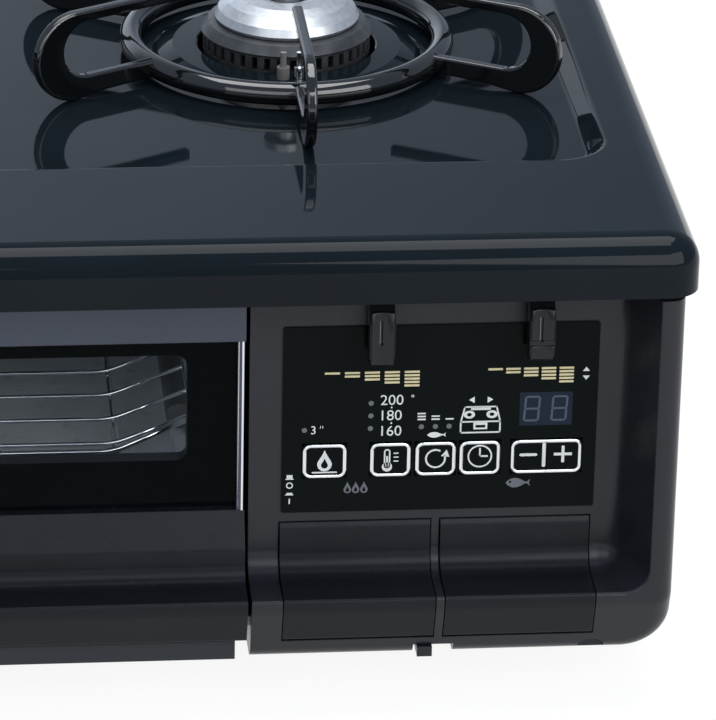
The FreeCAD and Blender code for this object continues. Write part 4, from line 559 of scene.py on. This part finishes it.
def dress_right_panel():
    """Scales, print, lamps and display of the right hand panel."""
    beige = Relief(membrane_face, INK)
    add_heat_scale(beige, RIGHT_SCALE_X, SCALE_Z, SCALE_PITCH, SCALE_COLUMN)
    add_heat_scale(beige, GRILL_SCALE_X, GRILL_Z, GRILL_PITCH, GRILL_COLUMN)
    beige.build("right_heat_scales", "print_beige", "cabinet")
    print_right_white()

    eye = Relief(membrane_face - INK, INK / 2)
    eye.add(disc(*FISH_EYE_AT, FISH_EYE_RADIUS, 16))
    eye.build("fish_eye", "panel_gloss", "cabinet")
    grey = Relief(membrane_face, INK)
    for place in LAMPS_AT:
        grey.add(disc(*place, LAMP_RADIUS, 20))
    add_flames(grey, *FLAMES_AT)
    grey.add(fish(*LARGE_FISH_AT, *LARGE_FISH))
    grey.build("right_panel_lamps", "grey_print_and_slot_highlight", "cabinet")

    film = Relief(membrane_face, INK / 2)
    film.add(round_rect(*DISPLAY_AT, *DISPLAY_SIZE, DISPLAY_CORNER))
    film.build("display_window", "display_film", "cabinet")
    digits = Relief(membrane_face - INK / 2, INK / 2)
    for place in DIGITS_AT:
        add_seven_segments(digits, *place)
    digits.build("display_digits", "display_segment", "cabinet")


def dress_left_panel():
    """The scale, push signs, battery and flames of the left hand panel."""
    beige = Relief(membrane_face, INK)
    add_heat_scale(beige, LEFT_SCALE_X, SCALE_Z, SCALE_PITCH, SCALE_COLUMN)
    beige.build("left_heat_scale", "print_beige", "cabinet")
    white = Relief(membrane_face, INK)
    add_push_marks(white, -PUSH_X)
    add_battery(white, *BATTERY_AT)
    white.build("left_panel_print", "print_white", "cabinet")
    grey = Relief(membrane_face, INK)
    add_flames(grey, -FLAMES_AT[0], FLAMES_AT[1])
    grey.build("left_panel_flames", "grey_print_and_slot_highlight", "cabinet")


# The bright frames round the touch keys

key_face = box_mm("key_timer")[0].y

FRAME_WIDTH = 1.35
FRAME_RISE = 0.45
FRAME_CORNER = 3.0
# Across a frame: share of its width from the key's edge, share of its rise
FRAME_SECTION = ((0, 0), (0.06, 0.5), (0.28, 0.92), (0.5, 1), (0.72, 0.92), (0.94, 0.5), (1, 0))


def frame_path(left, right, low, high, inset, open_side):
    """The outline of a key frame at some inset, whole or open at one side."""
    left += 0 if open_side == "left" else inset
    right -= 0 if open_side == "right" else inset
    low, high, radius = low + inset, high - inset, FRAME_CORNER - inset
    at_right = (arc(right - radius, low + radius, radius, -90, 0)
                + arc(right - radius, high - radius, radius, 0, 90))
    at_left = (arc(left + radius, high - radius, radius, 90, 180)
               + arc(left + radius, low + radius, radius, 180, 270))
    if open_side == "right":
        return [(right, high)] + at_left + [(right, low)]
    if open_side == "left":
        return [(left, low)] + at_right + [(left, high)]
    return at_right + at_left


def key_frame(node, open_side=None):
    """A bright raised frame that follows the edge of a touch key."""
    low, high = box_mm(node)
    mesh = bmesh.new()
    rows = []
    for inset, rise in FRAME_SECTION:
        y = key_face - rise * FRAME_RISE
        path = frame_path(low.x, high.x, low.z, high.z, inset * FRAME_WIDTH, open_side)
        rows.append([mesh.verts.new((x * MM, y * MM, z * MM)) for x, z in path])
    for row, other in zip(rows, rows[1:] + rows[:1]):
        bridge(mesh, row, other, closed=open_side is None)
    if open_side:
        mesh.faces.new([row[0] for row in rows])
        mesh.faces.new([row[-1] for row in reversed(rows)])
    mesh_piece(node + "_frame", mesh, "bright_trim", node + "_body")


# The signs on the touch keys, drawn about a middle (x, z)

SIGN_Z = 96.1


def heat_sign(sign, x, z):
    """A flame over a line."""
    sign.add_ring(flame(x, z - 4.2, 5.6, 8.6), flame(x, z - 3.1, 2.6, 4.2))
    sign.add(stroke(x - 4.4, z - 4.6, x + 4.4, z - 4.6, 0.6))


def temperature_sign(sign, x, z):
    """A thermometer with three marks beside it."""
    tube_low, tube_high = z - 2.4, z + 3.2
    sign.add_ring(stroke(x, tube_low, x, tube_high, 2.4), stroke(x, tube_low, x, tube_high, 1.3))
    sign.add(disc(x, z - 2.9, 1.9))
    sign.add(stroke(x, z - 2.6, x, z + 1.2, 0.7))
    for mark in (z - 0.6, z + 1.0, z + 2.6):
        sign.add(stroke(x + 2.6, mark, x + 4.0, mark, 0.5))


def auto_sign(sign, x, z):
    """A round arrow."""
    start, end, steps = 60, 380, 30
    sign.add(arc(x, z, 3.9, start, end, steps) + arc(x, z, 3.2, end, start, steps))
    sign.add([(x + 2.0, z + 1.0), (x + 5.2, z + 0.6), (x + 4.1, z + 3.6)])


def timer_sign(sign, x, z):
    """A clock face with its hands at three o'clock."""
    middle, steps, thick = z + 0.6, 48, 0.65
    sign.add_ring(disc(x, middle, 4.6, steps), disc(x, middle, 4.0, steps))
    sign.add(stroke(x, middle, x, middle + 3.1, thick))
    sign.add(stroke(x, middle, x + 2.7, middle, thick))


def minus_sign(sign, x, z):
    """A minus and, at its right, the line that parts it from the plus key."""
    sign.add(stroke(x - 2.8, z + 0.7, x + 2.8, z + 0.7, 1.1))
    sign.add(stroke(x + 5.8, z - 3.8, x + 5.8, z + 5.2, 1.3))


def plus_sign(sign, x, z):
    """A plus: its outline, closed by a hole at its middle that is too small to see."""
    reach, half, tiny = 3.4, 0.55, 0.02
    outline = [(half, -half), (reach, -half), (reach, half), (half, half), (half, reach),
               (-half, reach), (-half, half), (-reach, half), (-reach, -half), (-half, -half),
               (-half, -reach), (half, -reach)]
    sign.add_ring(*([(x + dx * size, z + 0.7 + dz * size) for dx, dz in outline]
                    for size in (1, tiny)))


key_signs = {
    "high_heat": (heat_sign, 164.0),
    "temperature": (temperature_sign, 187.2),
    "auto": (auto_sign, 205.2),
    "timer": (timer_sign, 221.7),
    "minus": (minus_sign, 239.8),
    "plus": (plus_sign, 252.7),
}


def dress_keys():
    """The frames and the signs of the six touch keys; minus and plus share one frame."""
    open_sides = {"minus": "right", "plus": "left"}
    for name in key_signs:
        key_frame("key_" + name, open_sides.get(name))
    for name, (draw, x) in key_signs.items():
        sign = Relief(key_face, INK)
        draw(sign, x, SIGN_Z)
        sign.build("key_%s_sign" % name, "print_white", "key_%s_body" % name)


# The grill window and the bright beads beside it

BORDER_THICK = 0.3
PANE_CORNER = 0.8
WINDOW_LOW, WINDOW_HIGH, WINDOW_HALF, WINDOW_CORNER = 95.4, 138.0, 113.4, 4.5
BEAD_RISE = 0.6
# Across a bead: share of its width, share of its rise
BEAD_SECTION = ((0, 0), (0.2, 0.8), (0.5, 1), (0.8, 0.8), (1, 0))
THIN_BEAD_GAP, THIN_BEAD = 0.2, 0.5  # from the glass
EDGE_BEAD_IN, EDGE_BEAD = 1.6, 1.2  # from the edge of the trim


def make_window():
    """The glass pane with its black border behind it, in the place of the plain pane."""
    low, high = box_mm("grill_glass")
    whole = round_rect(0, (low.z + high.z) / 2, high.x - low.x, high.z - low.z, PANE_CORNER)
    pane = Relief(high.y - BORDER_THICK, high.y - low.y - BORDER_THICK)
    pane.add(whole)
    pane_piece = pane.build("window_pane", "clear_glass", "grill_drawer")
    border = Relief(high.y, BORDER_THICK)
    border.add_ring(whole, round_rect(0, (WINDOW_LOW + WINDOW_HIGH) / 2, 2 * WINDOW_HALF,
                                      WINDOW_HIGH - WINDOW_LOW, WINDOW_CORNER))
    border.build("window_border", "black_frit_and_slot_shade", "grill_drawer")
    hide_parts("grill_glass")


def make_beads():
    """Two bright lines at each side of the glass, on the trim."""
    trim_edge = box_mm("door_trim")[1].x
    low, high = box_mm("grill_glass")
    lines = ((high.x + THIN_BEAD_GAP, THIN_BEAD), (trim_edge - EDGE_BEAD_IN, EDGE_BEAD))
    for side, sign in (("right", 1), ("left", -1)):
        mesh = bmesh.new()
        for inner, width in lines:
            section = [(sign * (inner + share * width) * MM, (low.y - rise * BEAD_RISE) * MM)
                       for share, rise in BEAD_SECTION]
            loft(mesh, [[mesh.verts.new((x, y, z * MM)) for x, y in section]
                        for z in (low.z, high.z)])
        mesh_piece("trim_bead_" + side, mesh, "bright_trim", "grill_drawer")


# The fire levers' moulded faces, and the painted shade and highlight of the slot down each

# Across a cover: from the lever's middle, and how far in front of its face
COVER_SECTION = ((-4.4, -0.3), (-4.3, 0.5), (-3.9, 0.95), (-3.4, 0.9), (-2.8, 0.45), (-1.2, 0.3),
                 (1.2, 0.35), (2.3, 0.55), (3.3, 1.0), (3.9, 1.0), (4.3, 0.5), (4.4, -0.3))
COVER_LOW, COVER_HIGH = 139.8, 161.0
STEP_LOW, STEP_HIGH, STEP_RISE, STEPPED_LOW = 140.8, 146.3, 0.7, 148.3
# The slot down each lever's face is not cut: a black strip and a dot paint its shade, standing a
# little in front of the face.
SLOT_SHADE_X, SLOT_SHADE_LOW, SLOT_TOP, SLOT_SHADE_WIDTH = -0.2, 149.5, 157.5, 0.4
SLOT_SHADE_DOT_Z, SLOT_SHADE_DOT_RADIUS = 148.4, 0.55
# A grey line beside the slot, painted as the highlight on its lit edge.
SLOT_HIGHLIGHT_X, SLOT_HIGHLIGHT_LOW, SLOT_HIGHLIGHT_WIDTH = -1.0, 148.6, 0.3
SLOT_PAINT_STANDOFF = 0.3


def add_cover(mesh, x, face, bottom, top, rise):
    """A ridged cover on a lever's face that fades out at its two ends."""
    ends = ((bottom, 0.15), (bottom + 0.5, 0.75), (bottom + 1.3, 1), (top - 0.6, 1), (top, 0.4))
    rows = []
    for z, share in ends:
        depths = [(dx, dy * rise * share if dy > 0 else dy) for dx, dy in COVER_SECTION]
        rows.append([mesh.verts.new(((x + dx) * MM, (face - dy) * MM, z * MM))
                     for dx, dy in depths])
    loft(mesh, rows)


def dress_lever(node, covers):
    """The covers of a fire lever, each (bottom, top, rise), a black strip and dot painted as the
    shade of its slot, and a grey line painted as the highlight on the slot's lit edge.
    """
    low, high = box_mm(node)
    x, face = (low.x + high.x) / 2, low.y
    mesh = bmesh.new()
    for cover in covers:
        add_cover(mesh, x, face, *cover)
    mesh_piece(node + "_cover", mesh, "lever_plastic", node + "_body", smooth=True)
    # A black strip and dot painted as the shade of the slot.
    slot_shade = Relief(face - SLOT_PAINT_STANDOFF, INK)
    slot_shade.add(stroke(x + SLOT_SHADE_X, SLOT_SHADE_LOW, x + SLOT_SHADE_X, SLOT_TOP, SLOT_SHADE_WIDTH))
    slot_shade.add(disc(x + SLOT_SHADE_X, SLOT_SHADE_DOT_Z, SLOT_SHADE_DOT_RADIUS, 16))
    slot_shade.build(node + "_slot_shade", "black_frit_and_slot_shade", node + "_body")
    # A grey line painted as the highlight on the slot's lit edge.
    line = Relief(face - SLOT_PAINT_STANDOFF, INK)
    line.add(stroke(x + SLOT_HIGHLIGHT_X, SLOT_HIGHLIGHT_LOW, x + SLOT_HIGHLIGHT_X, SLOT_TOP, SLOT_HIGHLIGHT_WIDTH))
    line.build(node + "_slot_highlight", "grey_print_and_slot_highlight", node + "_body")


def dress_levers():
    """The faces of the three levers; the grill lever has a step near its foot."""
    whole = ((COVER_LOW, COVER_HIGH, 1.0),)
    dress_lever("right_fire_lever", whole)
    dress_lever("left_fire_lever", whole)
    dress_lever("grill_fire_lever", ((STEP_LOW, STEP_HIGH, STEP_RISE),
                                     (STEPPED_LOW, COVER_HIGH, 1.0)))


# The grill rack

RACK_TOP = 90.0
RACK_WIRES = 10
WIRE, RAIL, LOOP_WIRE = 0.8, 1.1, 1.3  # radii
RACK_KINK, RACK_SIDE, WING_SLOPE = 88.0, 117.0, 0.4
WING_TOP = RACK_TOP + (RACK_SIDE - RACK_KINK) * WING_SLOPE
WIRES_IN_FRONT, WIRES_IN_BACK = 4, 2  # from the ends of the rack's box
END_RAIL_IN, LOOP_IN = 1, 1.2
WIRE_BEND, RAIL_BEND, RAIL_BEND_SLOPE = 5, 6, 0.5
RUNNER_OUT = 1  # from the kink
LEG_IN, LEG_GAP = 20, 0.2
LOOP_HALF, LOOP_RISE, LOOP_BEND = 42.0, 9.0, 5


def add_wire(mesh, points, radius, sides=10):
    """A bent wire through points in millimetres."""
    path = [Vector(p) for p in points]
    rows = []
    for number, point in enumerate(path):
        before = (point - path[number - 1]).normalized() if number else None
        after = (path[number + 1] - point).normalized() if number + 1 < len(path) else None
        along = ((before or after) + (after or before)).normalized()
        across = along.cross(Vector((0, 0, 1)))
        if across.length < 0.2:
            across = along.cross(Vector((0, 1, 0)))
        across.normalize()
        upright = across.cross(along).normalized()
        turns = (2 * math.pi * i / sides for i in range(sides))
        rows.append([mesh.verts.new((point + radius * (math.cos(t) * across
                                                       + math.sin(t) * upright)) * MM)
                     for t in turns])
    loft(mesh, rows)


def bend(corner, before, after, radius, steps=5):
    """Points of a rounded corner between two directions."""
    corner, before, after = (Vector(v) for v in (corner, before, after))
    first = corner - before.normalized() * radius
    last = corner + after.normalized() * radius
    return [first.lerp(corner, t).lerp(corner.lerp(last, t), t)
            for t in (i / steps for i in range(steps + 1))]


def winged(y, z, slope, radius):
    """The path of a cross wire: level between the kinks, rising to the wing tips."""
    left, right = (bend((sign * RACK_KINK, y, z), (sign, 0, 0), (sign, 0, slope), radius)
                   + [Vector((sign * RACK_SIDE, y, WING_TOP))] for sign in (-1, 1))
    return left[::-1] + right


def make_rack():
    """The bent wire rack: winged wires on runners and legs, end rails and a grip loop."""
    low, high = box_mm("grill_rack")
    mesh = bmesh.new()
    front, back = low.y + WIRES_IN_FRONT, high.y - WIRES_IN_BACK
    for number in range(RACK_WIRES):
        y = front + (back - front) * number / (RACK_WIRES - 1)
        add_wire(mesh, winged(y, RACK_TOP, WING_SLOPE, WIRE_BEND), WIRE)
    under = RACK_TOP - WIRE - RAIL
    end_rails = (low.y + END_RAIL_IN, high.y)
    for sign in (-1, 1):
        runner = sign * (RACK_KINK + RUNNER_OUT)
        for x, z in ((runner, under), (sign * RACK_SIDE, WING_TOP)):
            add_wire(mesh, [(x, y, z) for y in end_rails], RAIL)
        for y in (front + LEG_IN, back - LEG_IN):
            add_wire(mesh, [(runner, y, under), (runner, y, low.z + LEG_GAP)], RAIL)
    for y in end_rails:
        add_wire(mesh, winged(y, under, RAIL_BEND_SLOPE, RAIL_BEND), RAIL)
    loop_y, loop_top, steps = low.y + LOOP_IN, under + LOOP_RISE, 7
    up, across, down = (0, 0, 1), (1, 0, 0), (0, 0, -1)
    add_wire(mesh, [(-LOOP_HALF, loop_y, under)]
             + bend((-LOOP_HALF, loop_y, loop_top), up, across, LOOP_BEND, steps)
             + bend((LOOP_HALF, loop_y, loop_top), across, down, LOOP_BEND, steps)
             + [(LOOP_HALF, loop_y, under)], LOOP_WIRE)
    rack = mesh_piece("wire_rack", mesh, "chrome", "grill_drawer", smooth=True)
    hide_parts("grill_rack")


# The surroundings, the lamps and the camera

FLOOR_SIZE, FLOOR_GREY, FLOOR_GLOW = 16, 0.14, 0.9
GLOW_TOWARDS = (-0.35, 0.9, 0.12)
ROOM_STOPS = ((0.84, (0.34, 0.4, 0.5, 1)), (0.96, (1.0, 1.1, 1.28, 1)))
lamps = {
    "overhead": dict(place=(0.1, 0.15, 2.2), target=(0.05, 0, 0.1), size=(1.8, 1.4), power=36),
    "front_right": dict(place=(1.34, -1.96, 1.1), target=(0.2, -0.2, 0.1), size=(2.0, 1.5),
                        power=34),
    "front_left": dict(place=(-0.9, -2.3, 1.2), target=(0, -0.2, 0.1), size=(2.0, 1.4), power=14),
}
CAMERA_AT = (0, -1.8875, 0.9056)
CAMERA_TURN = (65.634, -1.116, -5.432)  # degrees
CAMERA_LENS = 254.6
CAMERA_CLIP = (0.05, 30)


def shown(tree):
    """One where a camera, mirror or glass ray looks, and nought for light that bounces."""
    path = tree.nodes.new("ShaderNodeLightPath")
    total = path.outputs["Is Camera Ray"]
    for name in ("Is Glossy Ray", "Is Transmission Ray"):
        either = tree.nodes.new("ShaderNodeMath")
        either.operation = "MAXIMUM"
        tree.links.new(total, either.inputs[0])
        tree.links.new(path.outputs[name], either.inputs[1])
        total = either.outputs[0]
    return total


def make_floor():
    """A plain floor that looks white and keeps the object's shadow."""
    bpy.ops.mesh.primitive_plane_add(size=FLOOR_SIZE, location=(0, 1, 0))
    floor = bpy.context.object
    floor.name = "floor"
    material, tree, shader = blank_material("floor_paper")
    shader.inputs["Roughness"].default_value = 0.9
    shader.inputs["Specular IOR Level"].default_value = 0
    vary_colour(tree, shader, (FLOOR_GREY,) * 3, share=0.01, scale=3)
    glow = tree.nodes.new("ShaderNodeEmission")
    both = tree.nodes.new("ShaderNodeAddShader")
    strength = tree.nodes.new("ShaderNodeMath")
    strength.operation = "MULTIPLY"
    strength.inputs[1].default_value = FLOOR_GLOW
    tree.links.new(shown(tree), strength.inputs[0])
    tree.links.new(strength.outputs[0], glow.inputs["Strength"])
    tree.links.new(shader.outputs[0], both.inputs[0])
    tree.links.new(glow.outputs[0], both.inputs[1])
    tree.links.new(both.outputs[0], tree.nodes["Material Output"].inputs["Surface"])
    floor.data.materials.append(material)


def make_room():
    """A pale room with a wide soft glow behind and to the left, as over a studio table."""
    world = bpy.data.worlds.new("room")
    bpy.context.scene.world = world
    world.use_nodes = True
    tree = world.node_tree
    place = tree.nodes.new("ShaderNodeTexCoord")
    facing = tree.nodes.new("ShaderNodeVectorMath")
    facing.operation = "DOT_PRODUCT"
    facing.inputs[1].default_value = Vector(GLOW_TOWARDS).normalized()
    ramp = tree.nodes.new("ShaderNodeValToRGB")
    for element, (position, colour) in zip(ramp.color_ramp.elements, ROOM_STOPS):
        element.position = position
        element.color = colour
    tree.links.new(place.outputs["Generated"], facing.inputs[0])
    tree.links.new(facing.outputs["Value"], ramp.inputs["Fac"])
    tree.links.new(ramp.outputs["Color"], tree.nodes["Background"].inputs["Color"])


def add_lamp(name, place, target, size, power):
    """A soft rectangular lamp that looks at a point."""
    data = bpy.data.lights.new(name, "AREA")
    data.shape = "RECTANGLE"
    data.size, data.size_y = size
    data.energy = power
    lamp = bpy.data.objects.new(name, data)
    bpy.context.scene.collection.objects.link(lamp)
    lamp.location = place
    lamp.rotation_euler = (Vector(target) - Vector(place)).to_track_quat("-Z", "Y").to_euler()


def make_camera():
    """The photograph's viewpoint: straight in front and above, turned to the right hand corner."""
    data = bpy.data.cameras.new("camera")
    data.lens = CAMERA_LENS
    data.clip_start, data.clip_end = CAMERA_CLIP
    camera = bpy.data.objects.new("camera", data)
    camera.location = CAMERA_AT
    camera.rotation_euler = [math.radians(angle) for angle in CAMERA_TURN]
    bpy.context.scene.collection.objects.link(camera)
    bpy.context.scene.camera = camera


dress_right_panel()
dress_left_panel()
dress_keys()
make_window()
make_beads()
dress_levers()
make_rack()
make_floor()
make_room()
for lamp_name, settings in lamps.items():
    add_lamp(lamp_name, **settings)
make_camera()
bpy.context.scene.view_settings.view_transform = "Standard"
